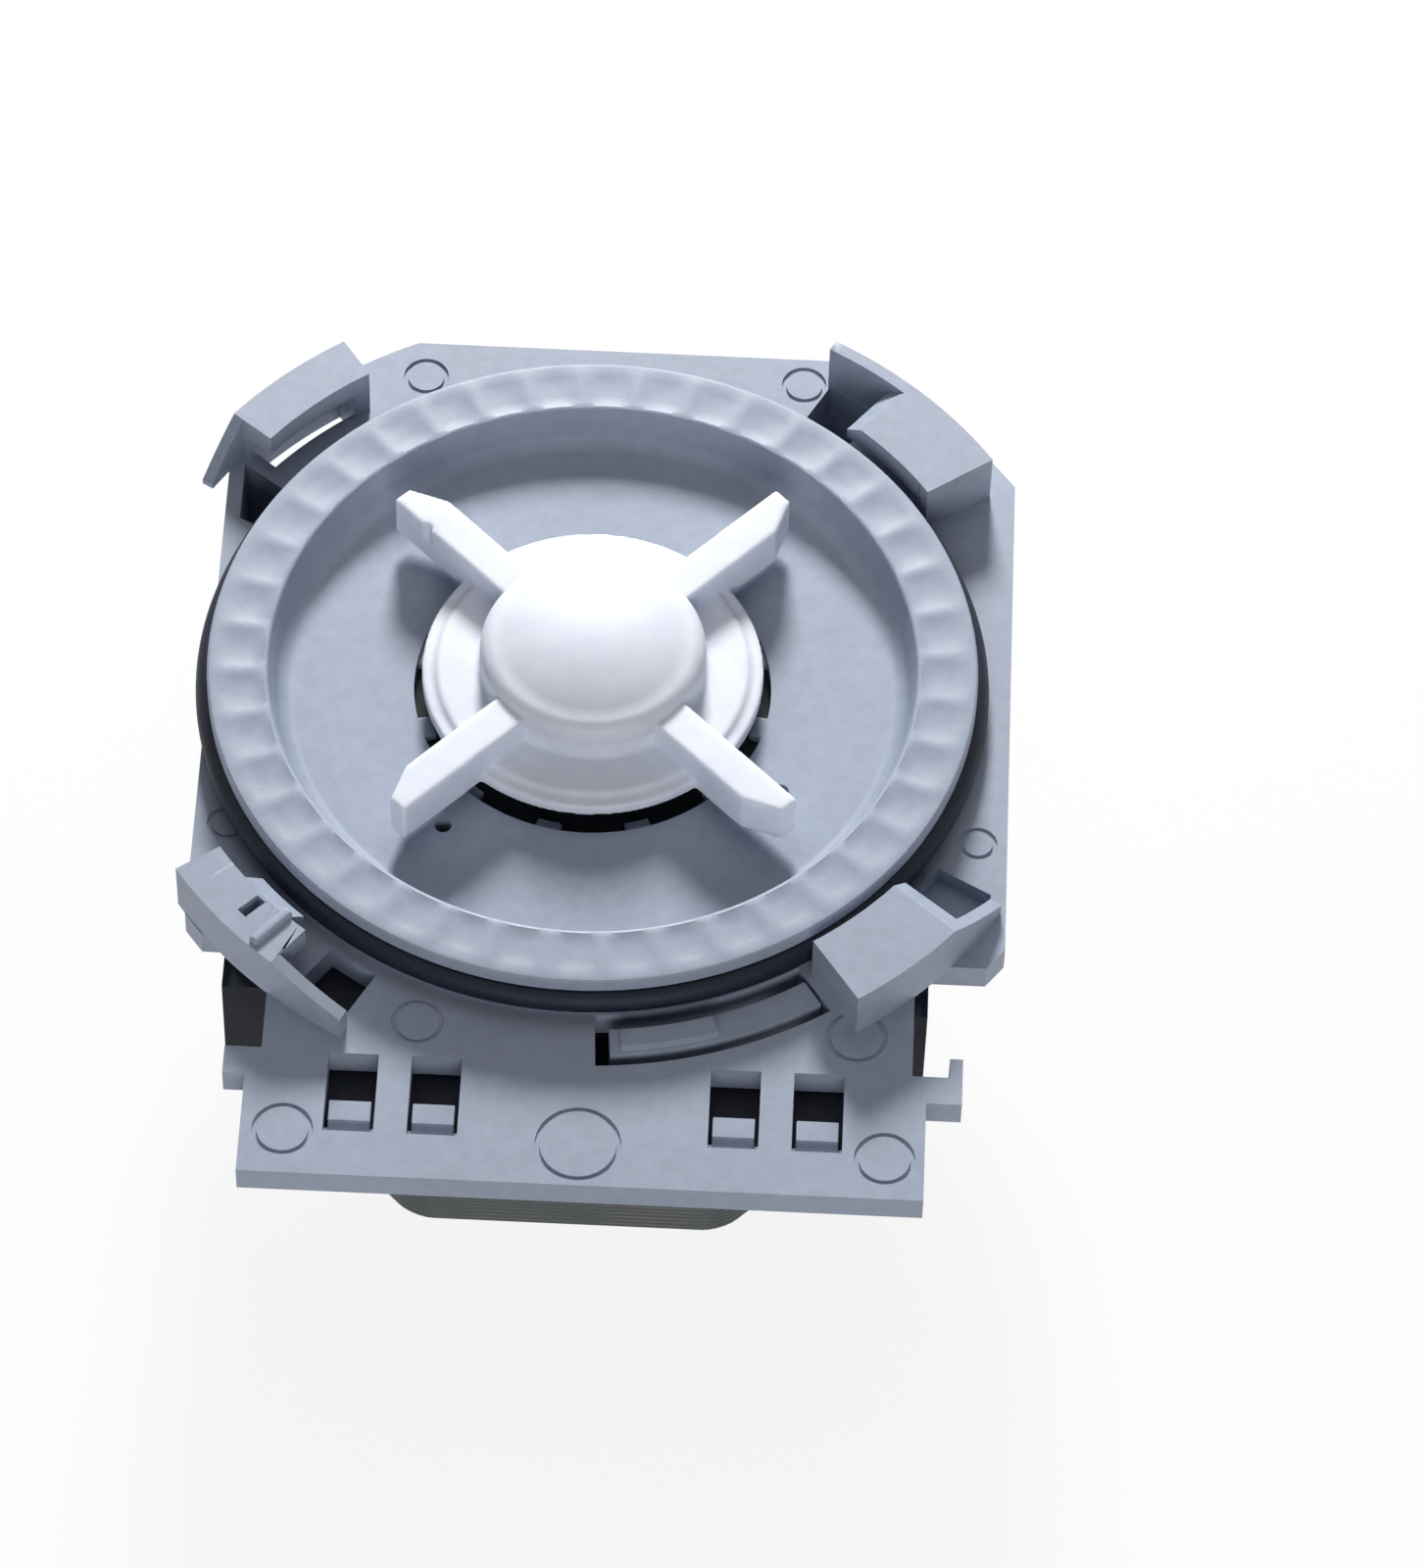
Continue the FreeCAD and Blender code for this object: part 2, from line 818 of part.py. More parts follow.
def terminal_shroud():
    y0 = terminal_y - shroud_half_h
    y1 = terminal_y + shroud_half_h
    outside = block(
        -shroud_half_w - shroud_wall, shroud_half_w + shroud_wall,
        y0 - shroud_wall, y1 + shroud_wall, can_back, housing_back,
    )
    return outside.cut(block(-shroud_half_w, shroud_half_w, y0, y1, can_back, housing_back))


def terminal_slot(side):
    grow = terminal_slot_clear
    return block(
        side * terminal_x - terminal_t / 2 - grow, side * terminal_x + terminal_t / 2 + grow,
        terminal_y - terminal_w / 2 - grow, terminal_y + terminal_w / 2 + grow,
        housing_back, coil_inner_back,
    )


def coil_housing():
    box = block(-housing_side_x, housing_side_x, coil_bottom, coil_top, housing_back, housing_front)
    room = block(-coil_side_x, coil_side_x, bobbin_low, coil_top, coil_inner_back, coil_inner_front)
    rails = block(-rail_reach, rail_reach, coil_bottom, rail_top, rail_back, housing_front)
    shell = fused([box, rails, apron(), terminal_shroud()]).cut(room)
    for side in (-1, 1):
        shell = shell.cut(side_block(
            side, bobbin_inner_x, bobbin_outer_x, coil_bottom, bobbin_low,
            core_back - bobbin_clear, core_front + bobbin_clear,
        ))
        shell = shell.cut(terminal_slot(side))
    hooks = [snap_hook(x0, x1) for x0, x1 in window_edges()]
    return fused([shell] + hooks)


def terminal(side):
    x = side * terminal_x
    return block(
        x - terminal_t / 2, x + terminal_t / 2,
        terminal_y - terminal_w / 2, terminal_y + terminal_w / 2,
        can_back + terminal_short, coil_inner_back,
    )


def thermal_cutout():
    middle = (coil_inner_front + coil_inner_back) / 2
    low = bobbin_low + cutout_clear
    return block(
        -cutout_half_w, cutout_half_w, low, low + cutout_len,
        middle - cutout_t / 2, middle + cutout_t / 2,
    )


pump_nodes = {
    "front_housing": front_housing,
    "latch_arm": latch_arm,
    "spigot_o_ring": spigot_o_ring,
    "bearing_carrier": bearing_carrier,
    "carrier_o_ring": carrier_o_ring,
    "front_bearing": lambda: bearing(front_bearing_top),
    "front_bearing_boot": lambda: boot(front_bearing_top),
    "rear_bearing": lambda: bearing(rear_bearing_top),
    "rear_bearing_boot": lambda: boot(rear_bearing_top),
    "front_thrust_washer": lambda: ring(shaft_r, washer_r, front_cap_top, front_washer_top),
    "rear_thrust_washer": lambda: ring(shaft_r, washer_r, rear_washer_bottom, rear_cap_bottom),
    "rotor_shaft": rotor_shaft,
    "rotor_sleeve": lambda: ring(shaft_r, sleeve_r, magnet_bottom, magnet_top),
    "rotor_magnet": lambda: ring(sleeve_r, magnet_r, magnet_bottom, magnet_top),
    "rotor_cap_front": lambda: ring(shaft_r, cap_r, magnet_top, front_cap_top),
    "rotor_cap_rear": lambda: ring(shaft_r, cap_r, rear_cap_bottom, magnet_bottom),
    "drive_dog": drive_dog,
    "coupling_damper": coupling_damper,
    "impeller": impeller,
    "impeller_hub_cover": impeller_hub_cover,
    "stator_core": stator_core,
    "bobbin_left": lambda: bobbin(-1),
    "bobbin_right": lambda: bobbin(1),
    "winding_left": lambda: winding(-1),
    "winding_right": lambda: winding(1),
    "coil_housing": coil_housing,
    "terminal_left": lambda: terminal(-1),
    "terminal_right": lambda: terminal(1),
    "thermal_cutout": thermal_cutout,
}

os.makedirs("parts", exist_ok=True)
for name, make in pump_nodes.items():
    shape = make()
    shape.exportStep("parts/" + name + ".step")
    print(name, "solids", len(shape.Solids), "valid", shape.isValid(), "volume", round(shape.Volume, 1))
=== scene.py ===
import bpy
import math
from mathutils import Matrix, Vector


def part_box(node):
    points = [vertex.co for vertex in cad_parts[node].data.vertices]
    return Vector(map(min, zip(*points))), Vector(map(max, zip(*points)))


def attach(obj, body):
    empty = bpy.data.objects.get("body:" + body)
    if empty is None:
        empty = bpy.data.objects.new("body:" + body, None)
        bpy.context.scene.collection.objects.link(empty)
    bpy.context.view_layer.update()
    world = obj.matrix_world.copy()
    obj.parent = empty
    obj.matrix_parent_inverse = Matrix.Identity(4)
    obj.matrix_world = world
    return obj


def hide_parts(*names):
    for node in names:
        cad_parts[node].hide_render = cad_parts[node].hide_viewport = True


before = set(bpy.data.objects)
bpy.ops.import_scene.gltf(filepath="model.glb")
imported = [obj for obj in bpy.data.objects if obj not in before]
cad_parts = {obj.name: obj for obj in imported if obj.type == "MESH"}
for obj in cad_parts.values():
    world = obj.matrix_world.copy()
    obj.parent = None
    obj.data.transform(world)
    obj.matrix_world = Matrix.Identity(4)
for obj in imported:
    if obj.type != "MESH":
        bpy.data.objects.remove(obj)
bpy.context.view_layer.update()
print("frame loaded:", len(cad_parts), "nodes")

# Pieces are modelled in millimetres in the CAD's own frame, and made metres when they are finished.
# +Z is the rotor axis out of the wet side, and z 0 is the face of the spigot's rim.
toMetres = 0.001


# selecting

def makeActive(obj):
    if bpy.context.object and bpy.context.object.mode != "OBJECT":
        bpy.ops.object.mode_set(mode="OBJECT")
    bpy.ops.object.select_all(action="DESELECT")
    obj.select_set(True)
    bpy.context.view_layer.objects.active = obj


def newPiece(name):
    obj = bpy.context.object
    obj.name = name
    obj.data.name = name
    return obj


def pickFaces(obj, test):
    # selects faces by centre and normal, and leaves the piece in edit mode
    makeActive(obj)
    bpy.ops.object.mode_set(mode="EDIT")
    bpy.ops.mesh.select_mode(type="FACE")
    bpy.ops.mesh.select_all(action="DESELECT")
    bpy.ops.object.mode_set(mode="OBJECT")
    for face in obj.data.polygons:
        face.select = test(face.center, face.normal)
    bpy.ops.object.mode_set(mode="EDIT")


def pickVerts(obj, test):
    makeActive(obj)
    bpy.ops.object.mode_set(mode="EDIT")
    bpy.ops.mesh.select_mode(type="VERT")
    bpy.ops.mesh.select_all(action="DESELECT")
    bpy.ops.object.mode_set(mode="OBJECT")
    for vert in obj.data.vertices:
        vert.select = test(vert.co)
    bpy.ops.object.mode_set(mode="EDIT")


def pickEdges(obj, test):
    # selects edges by their two ends
    makeActive(obj)
    bpy.ops.object.mode_set(mode="EDIT")
    bpy.ops.mesh.select_mode(type="EDGE")
    bpy.ops.mesh.select_all(action="DESELECT")
    bpy.ops.object.mode_set(mode="OBJECT")
    for edge in obj.data.edges:
        a, b = (obj.data.vertices[i].co for i in edge.vertices)
        edge.select = test(a, b)
    bpy.ops.object.mode_set(mode="EDIT")


def leaveEdit():
    bpy.ops.object.mode_set(mode="OBJECT")


# placing, cutting and softening

def applyPlace(obj):
    makeActive(obj)
    bpy.ops.object.transform_apply(location=True, rotation=True, scale=True)


def turnPiece(obj, degrees):
    obj.rotation_euler = (0, 0, math.radians(degrees))
    applyPlace(obj)
    return obj


def closeUp(obj, gap=0.004):
    # merges doubles, then turns all faces outwards
    makeActive(obj)
    bpy.ops.object.mode_set(mode="EDIT")
    bpy.ops.mesh.select_all(action="SELECT")
    bpy.ops.mesh.remove_doubles(threshold=gap)
    bpy.ops.mesh.normals_make_consistent(inside=False)
    leaveEdit()
    return obj


def modify(obj, kind, **settings):
    mod = obj.modifiers.new(kind.title(), kind)
    for key, value in settings.items():
        setattr(mod, key, value)
    makeActive(obj)
    bpy.ops.object.modifier_apply(modifier=mod.name)
    return obj


def combine(obj, others, operation="UNION"):
    for other in others:
        modify(obj, "BOOLEAN", object=other, operation=operation, solver="EXACT")
        bpy.data.objects.remove(other)
    return obj


def softenEdges(obj, width, segments=2, angle=35):
    return modify(
        obj, "BEVEL", width=width, segments=segments, limit_method="ANGLE", angle_limit=math.radians(angle),
    )


def joinPieces(name, parts):
    makeActive(parts[0])
    for part in parts:
        part.select_set(True)
    bpy.ops.object.join()
    return newPiece(name)


def finishPiece(obj, body, material, nodes=(), smooth=35, flats=True):
    obj.scale = (toMetres, toMetres, toMetres)
    applyPlace(obj)
    bpy.ops.object.shade_smooth_by_angle(angle=math.radians(smooth))
    if flats:
        # large faces keep their own normals, so that only the rounded edges blend
        modify(obj, "WEIGHTED_NORMAL", keep_sharp=True)
    obj.data.materials.clear()
    obj.data.materials.append(material)
    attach(obj, body)
    if nodes:
        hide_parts(*nodes)
    return obj


# starting shapes

def boxBetween(name, x0, x1, y0, y1, z0, z1):
    bpy.ops.object.select_all(action="DESELECT")
    bpy.ops.mesh.primitive_cube_add(size=1, location=((x0 + x1) / 2, (y0 + y1) / 2, (z0 + z1) / 2))
    obj = newPiece(name)
    obj.scale = (x1 - x0, y1 - y0, z1 - z0)
    applyPlace(obj)
    return obj


def roundBar(name, radius, z0, z1, x=0, y=0, sides=128):
    bpy.ops.object.select_all(action="DESELECT")
    bpy.ops.mesh.primitive_cylinder_add(
        vertices=sides, radius=radius, depth=z1 - z0, location=(x, y, (z0 + z1) / 2),
    )
    obj = newPiece(name)
    applyPlace(obj)
    return obj


def drawLine(name, points):
    # one corner of a plane, extruded from point to point
    bpy.ops.object.select_all(action="DESELECT")
    bpy.ops.mesh.primitive_plane_add(size=1, location=(0, 0, 0))
    obj = newPiece(name)
    pickVerts(obj, lambda co: not (co.x > 0 and co.y > 0))
    bpy.ops.mesh.delete(type="VERT")
    leaveEdit()
    obj.location = Vector(points[0]) - obj.data.vertices[0].co
    applyPlace(obj)
    bpy.ops.object.mode_set(mode="EDIT")
    bpy.ops.mesh.select_mode(type="VERT")
    bpy.ops.mesh.select_all(action="SELECT")
    for start, end in zip(points, points[1:]):
        step = Vector(end) - Vector(start)
        bpy.ops.mesh.extrude_region_move(TRANSFORM_OT_translate={"value": step})
    leaveEdit()
    return obj


def drawLoop(name, points):
    # a closed outline, filled with one face
    obj = drawLine(name, list(points) + [points[0]])
    makeActive(obj)
    bpy.ops.object.mode_set(mode="EDIT")
    bpy.ops.mesh.select_all(action="SELECT")
    bpy.ops.mesh.remove_doubles(threshold=0.001)
    bpy.ops.mesh.edge_face_add()
    leaveEdit()
    return obj


def spinLine(name, profile, steps=160, degrees=360, start=0):
    # turns a closed profile of radius and height round the rotor axis
    points = [(r, 0, z) for r, z in profile]
    if degrees < 360:
        obj = drawLoop(name, points)
    else:
        obj = drawLine(name, points + [points[0]])
        closeUp(obj, 0.001)
    turnPiece(obj, start)
    bpy.ops.object.mode_set(mode="EDIT")
    bpy.ops.mesh.select_all(action="SELECT")
    bpy.ops.mesh.spin(steps=steps, angle=-math.radians(degrees), center=(0, 0, 0), axis=(0, 0, 1))
    leaveEdit()
    return closeUp(obj)


def arcBlock(name, inner, outer, start, span, z0, z1):
    steps = max(2, round(span / 1.2))
    return spinLine(name, [(inner, z0), (outer, z0), (outer, z1), (inner, z1)], steps, span, start)


def slopedArc(name, inner, outer, start, span, z0, z1, drop):
    # an arc block whose top falls by an angle from its start on
    obj = arcBlock(name, inner, outer, 0, span, z0, z1)
    if drop:
        makeActive(obj)
        bpy.ops.object.mode_set(mode="EDIT")
        bpy.ops.mesh.select_all(action="SELECT")
        normal = (0, math.sin(math.radians(drop)), math.cos(math.radians(drop)))
        bpy.ops.mesh.bisect(plane_co=(0, 0, z1), plane_no=normal, use_fill=True, clear_outer=True)
        leaveEdit()
        closeUp(obj)
    return turnPiece(obj, start)


def slab(name, corners, z0, z1):
    # a flat outline raised from z0 to z1
    obj = drawLoop(name, [(x, y, z0) for x, y in corners])
    makeActive(obj)
    bpy.ops.object.mode_set(mode="EDIT")
    bpy.ops.mesh.select_all(action="SELECT")
    bpy.ops.mesh.extrude_region_move(TRANSFORM_OT_translate={"value": (0, 0, z1 - z0)})
    leaveEdit()
    return closeUp(obj)


# materials

def hexColour(text):
    # sRGB hex to the linear values that the shader takes
    values = [int(text[i:i + 2], 16) / 255 for i in (1, 3, 5)]
    linear = [v / 12.92 if v <= 0.04045 else ((v + 0.055) / 1.055) ** 2.4 for v in values]
    return (*linear, 1.0)


def perMm(size):
    # texture scale of a pattern whose features are so many millimetres across
    return 1 / (size * toMetres)


def addNode(tree, kind, inputs=None, **settings):
    node = tree.nodes.new(kind)
    for key, value in settings.items():
        setattr(node, key, value)
    for key, value in (inputs or {}).items():
        if isinstance(value, bpy.types.NodeSocket):
            tree.links.new(value, node.inputs[key])
        else:
            node.inputs[key].default_value = value
    return node


def startMaterial(name, **shader):
    mat = bpy.data.materials.new(name)
    mat.use_nodes = True
    tree = mat.node_tree
    surface = tree.nodes["Principled BSDF"]
    for key, value in shader.items():
        surface.inputs[key.replace("_", " ")].default_value = value
    place = addNode(tree, "ShaderNodeTexCoord").outputs["Object"]
    return mat, tree, surface, place


def toneBetween(tree, factor, low, high, start=0.35, end=0.65):
    ramp = addNode(tree, "ShaderNodeValToRGB", {"Fac": factor})
    ramp.color_ramp.elements[0].position = start
    ramp.color_ramp.elements[1].position = end
    ramp.color_ramp.elements[0].color = hexColour(low)
    ramp.color_ramp.elements[1].color = hexColour(high)
    return ramp.outputs["Color"]


def mouldedPlastic(name, low, high, look):
    # flow marks in colour and gloss, with the mould's fine spark-eroded grain over them
    mat, tree, surface, place = startMaterial(name, IOR=look["ior"], Specular_IOR_Level=look["specular"])
    flow = addNode(tree, "ShaderNodeTexNoise", {
        "Vector": place, "Scale": perMm(look["flowMm"]), "Detail": 4.0, "Roughness": 0.55,
    }).outputs["Fac"]
    speck = addNode(tree, "ShaderNodeTexNoise", {
        "Vector": place, "Scale": perMm(look["speckMm"]), "Detail": 2.0,
    }).outputs["Fac"]
    both = addNode(tree, "ShaderNodeMath", {0: flow, 1: speck}, operation="ADD").outputs[0]
    half = addNode(tree, "ShaderNodeMath", {0: both, 1: 0.5}, operation="MULTIPLY").outputs[0]
    tree.links.new(toneBetween(tree, half, low, high), surface.inputs["Base Color"])
    gloss = addNode(tree, "ShaderNodeMapRange", {
        "Value": flow, "From Min": 0.3, "From Max": 0.7,
        "To Min": look["rough"] - look["spread"], "To Max": look["rough"] + look["spread"],
    })
    tree.links.new(gloss.outputs["Result"], surface.inputs["Roughness"])
    grain = addNode(tree, "ShaderNodeTexNoise", {
        "Vector": place, "Scale": perMm(look["grainMm"]), "Detail": 3.0,
    })
    bump = addNode(tree, "ShaderNodeBump", {
        "Height": grain.outputs["Fac"], "Strength": look["grain"], "Distance": 0.0002,
    })
    tree.links.new(bump.outputs["Normal"], surface.inputs["Normal"])
    return mat, surface


def lacqueredSteel():
    # electrical steel sheet under dark green-grey lacquer: satin, blotchy where the lacquer pooled
    mat, tree, surface, place = startMaterial("lacqueredLaminations", IOR=1.5)
    pool = addNode(tree, "ShaderNodeTexNoise", {"Vector": place, "Scale": perMm(5), "Detail": 5.0}).outputs["Fac"]
    tree.links.new(toneBetween(tree, pool, "#252b2c", "#373f3f"), surface.inputs["Base Color"])
    shine = addNode(tree, "ShaderNodeMapRange", {
        "Value": pool, "From Min": 0.3, "From Max": 0.7, "To Min": 0.3, "To Max": 0.5,
    })
    tree.links.new(shine.outputs["Result"], surface.inputs["Roughness"])
    pit = addNode(tree, "ShaderNodeTexNoise", {"Vector": place, "Scale": perMm(0.4), "Detail": 3.0})
    bump = addNode(tree, "ShaderNodeBump", {"Height": pit.outputs["Fac"], "Strength": 0.12, "Distance": 0.0002})
    tree.links.new(bump.outputs["Normal"], surface.inputs["Normal"])
    return mat


def metalFinish(name, low, high, grain, rough, alongMm, stretch, coat=0.0):
    # fine grain drawn out along the way the metal was worked
    mat, tree, surface, place = startMaterial(name, Metallic=1.0, Coat_Weight=coat)
    drawn = addNode(tree, "ShaderNodeMapping", {"Vector": place, "Scale": stretch}).outputs["Vector"]
    lines = addNode(tree, "ShaderNodeTexNoise", {
        "Vector": drawn, "Scale": perMm(alongMm), "Detail": 3.0,
    }).outputs["Fac"]
    tree.links.new(toneBetween(tree, lines, low, high), surface.inputs["Base Color"])
    rub = addNode(tree, "ShaderNodeMapRange", {
        "Value": lines, "From Min": 0.3, "From Max": 0.7, "To Min": rough[0], "To Max": rough[1],
    })
    tree.links.new(rub.outputs["Result"], surface.inputs["Roughness"])
    bump = addNode(tree, "ShaderNodeBump", {"Height": lines, "Strength": grain, "Distance": 0.0001})
    tree.links.new(bump.outputs["Normal"], surface.inputs["Normal"])
    return mat


def makeMaterials():
    # each look: shine, then the size of its flow marks, specks and grain
    satin = {
        "ior": 1.49, "specular": 0.3, "rough": 0.5, "spread": 0.06,
        "flowMm": 16, "speckMm": 1.2, "grainMm": 0.3, "grain": 0.05,
    }
    milky = {
        "ior": 1.48, "specular": 0.35, "rough": 0.48, "spread": 0.05,
        "flowMm": 12, "speckMm": 2.0, "grainMm": 0.5, "grain": 0.03,
    }
    filled = {
        "ior": 1.45, "specular": 0.2, "rough": 0.6, "spread": 0.07,
        "flowMm": 8, "speckMm": 0.6, "grainMm": 0.25, "grain": 0.12,
    }
    dull = {
        "ior": 1.5, "specular": 0.2, "rough": 0.5, "spread": 0.08,
        "flowMm": 5, "speckMm": 0.4, "grainMm": 0.2, "grain": 0.08,
    }
    mats = {}
    # grey talc-filled polypropylene, moulded: satin, cool grey, slightly cloudy
    mats["housing"] = mouldedPlastic("greyPolypropylene", "#939cad", "#9ea7b8", satin)[0]
    # white acetal, moulded: milky, so light gets a little way in
    mats["white"], surface = mouldedPlastic("whiteAcetal", "#dce1ee", "#e6eaf5", milky)
    surface.inputs["Subsurface Weight"].default_value = 0.35
    surface.inputs["Subsurface Radius"].default_value = (0.9, 1.0, 1.2)
    surface.inputs["Subsurface Scale"].default_value = 0.002
    # black glass-filled polyester, moulded: fibres near the skin dull it in places
    mats["black"] = mouldedPlastic("blackPolyester", "#17191e", "#212329", filled)[0]
    # dark grey glass-filled polyester of the coil housing
    mats["coil"] = mouldedPlastic("darkCoilPolyester", "#161922", "#1f2330", filled)[0]
    # nitrile rubber, moulded: blue-black, with the sheen of its silicone grease
    mats["rubber"] = mouldedPlastic("nitrileRubber", "#0f1320", "#1a2030", dull)[0]
    # alumina, ground: cream and smooth
    mats["ceramic"] = mouldedPlastic("groundAlumina", "#d9d3c4", "#e4dfd2", milky)[0]
    # ferrite, sintered: dull dark grey
    mats["ferrite"] = mouldedPlastic("sinteredFerrite", "#25262a", "#303237", filled)[0]
    mats["core"] = lacqueredSteel()
    # enamelled copper wire: amber enamel over bright copper
    mats["copper"] = metalFinish("enamelledCopper", "#9c4a25", "#c06a38", 0.05, (0.26, 0.36), 1.5, (1, 1, 1), 0.5)
    # tinned brass, stamped: pale, with rolling lines along the tab
    mats["tin"] = metalFinish("tinnedBrass", "#b3afa6", "#cfcbc3", 0.1, (0.24, 0.4), 0.25, (1, 1, 0.08))
    # stainless steel, ground round its axis
    mats["steel"] = metalFinish("groundStainless", "#b4b6b9", "#cccdd0", 0.1, (0.2, 0.3), 0.2, (0.1, 0.1, 1))
    return mats


mats = makeMaterials()
print("materials made")

# heights that several pieces share, in millimetres
level = {
    "rim": 0.0, "lugTop": 0.4, "lipLow": -1.2, "grooveLow": -3.8, "floor": -3.2,
    "plateFront": -4.2, "plateBack": -6.6, "canBack": -35.5,
}
# the plate's middle lies this far to the right of the rotor axis
plateShift = 1.3


def housingPiece(obj, smooth=35):
    return finishPiece(obj, "pump_body", mats["housing"], ["front_housing"], smooth)


# spigot: lip, O-ring groove, fluted rim and recess

def makeSpigot():
    size = {
        "radius": 30.0, "recess": 25.2, "wallFoot": 24.7, "fillet": 1.3, "round": 0.35, "grooveRadius": 28.68,
        "mouth": 13.95, "flutes": 40, "fluteWide": 3.8, "fluteDeep": 0.17, "fluteStop": 0.5, "stepsEach": 16,
        "crossings": ((0.1, 0.7), (0.3, 1.0), (0.6, 1.0), (0.8, 0.7)),
        "holeRadius": 0.65, "holeCircle": 17.6, "holeAngles": (232.0, 328.5),
    }
    foot, fillet, inner, rim, outer = (size[k] for k in ("wallFoot", "fillet", "recess", "round", "radius"))
    profile = [(size["mouth"], level["plateBack"]), (size["mouth"], level["floor"])]
    for i in range(7):
        turn = math.radians(15 * i)
        profile.append((foot - fillet + fillet * math.sin(turn), level["floor"] + fillet - fillet * math.cos(turn)))
    for i in range(4):
        turn = math.radians(30 * i)
        profile.append((inner + rim - rim * math.cos(turn), -rim + rim * math.sin(turn)))
    stop = outer - size["fluteStop"]
    # where a flute's depth is set along it, as a radius and a share of the full depth
    lands = [(inner + rim + (stop - inner - rim) * share, fade) for share, fade in size["crossings"]]
    profile += [(r, 0.0) for r, fade in lands] + [(stop, 0.0)]
    for i in range(1, 4):
        turn = math.radians(30 * i)
        profile.append((outer - rim + rim * math.sin(turn), -rim + rim * math.cos(turn)))
    profile += [
        (outer, level["lipLow"]), (size["grooveRadius"], level["lipLow"]),
        (size["grooveRadius"], level["grooveLow"]), (outer, level["grooveLow"]), (outer, level["plateBack"]),
    ]
    # one flute's share of the ring is shaped, then repeated round the axis
    pitch = 360 / size["flutes"]
    points = [(r, 0, z) for r, z in profile]
    ring = drawLine("spigotRing", points + [points[0]])
    closeUp(ring, 0.001)
    turnPiece(ring, -pitch / 2)
    bpy.ops.object.mode_set(mode="EDIT")
    bpy.ops.mesh.select_all(action="SELECT")
    bpy.ops.mesh.spin(steps=size["stepsEach"], angle=-math.radians(pitch), center=(0, 0, 0), axis=(0, 0, 1))
    leaveEdit()
    half, deep = size["fluteWide"] / 2, size["fluteDeep"]
    for k in range(-size["stepsEach"] // 2 + 1, size["stepsEach"] // 2):
        angle = pitch * k / size["stepsEach"]
        for r, fade in lands:
            across = abs(r * math.sin(math.radians(angle)))
            if across >= half:
                continue
            # a rounded crossing, a little shallower at both ends
            sink = deep * fade * (1 - (across / half) ** 2)

            def here(co):
                flat = co.z > -0.01 and abs(math.hypot(co.x, co.y) - r) < 0.02
                return flat and abs(math.degrees(math.atan2(co.y, co.x)) - angle) < 0.1

            pickVerts(ring, here)
            bpy.ops.transform.translate(value=(0, 0, -sink))
            leaveEdit()
    makeActive(ring)
    bpy.ops.object.mode_set(mode="EDIT")
    bpy.ops.mesh.select_all(action="SELECT")
    bpy.ops.mesh.spin(
        steps=size["flutes"], angle=-math.radians(360), center=(0, 0, 0), axis=(0, 0, 1), dupli=True,
    )
    leaveEdit()
    closeUp(ring, 0.01)
    holes = []
    for angle in size["holeAngles"]:
        x = size["holeCircle"] * math.cos(math.radians(angle))
        y = size["holeCircle"] * math.sin(math.radians(angle))
        holes.append(roundBar("drainHole", size["holeRadius"], level["plateBack"] - 1, level["floor"] + 1, x, y, 24))
    combine(ring, holes, "DIFFERENCE")
    return housingPiece(ring, 25)


makeSpigot()
print("spigot made")


# bayonet places: where each lug starts, and the openings beside it

bayonet = {
    "first": 37.5, "step": 90.0, "span": 15.0, "outer": 37.5, "wall": 1.6, "shelf": 2.0, "endWall": 1.6,
    "wide": 31.3, "narrow": 33.6, "lead": 2.6, "leadDrop": 38.0, "tailWall": 1.0,
    "tails": (9.0, 6.5, 9.8, 7.0), "tailDrops": (0.0, 45.0, 20.0, 30.0), "splitGap": 1.5,
    "stripWide": 1.6, "stripStart": 3.5, "stripSpan": 8.5, "slot": (33.9, 35.9), "slotSpan": 13.8,
    "entry": (31.3, 36.3), "entryStart": 16.0, "entrySpan": 7.6, "entryFloor": (-1.0, -1.0, -1.0, 0.8),
    "cupWall": 1.2, "cupDepth": 6.0,
    "plateHalf": 31.4, "edge": 0.25,
}


def lugStart(index):
    return bayonet["first"] + index * bayonet["step"]


def entryBlock(name, index, grow, z0, z1):
    inner, outer = bayonet["entry"]
    side = math.degrees(grow / outer)
    start = lugStart(index) + bayonet["entryStart"] - side
    block = arcBlock(name, inner - grow, outer + grow, start, bayonet["entrySpan"] + 2 * side, z0, z1)
    reach = bayonet["plateHalf"] - bayonet["cupWall"] + grow
    keep = boxBetween("keep", plateShift - reach, plateShift + reach, -60, 60, z0 - 1, z1 + 1)
    return combine(block, [keep], "INTERSECT")


# front plate: outline, slots, windows and ejector marks

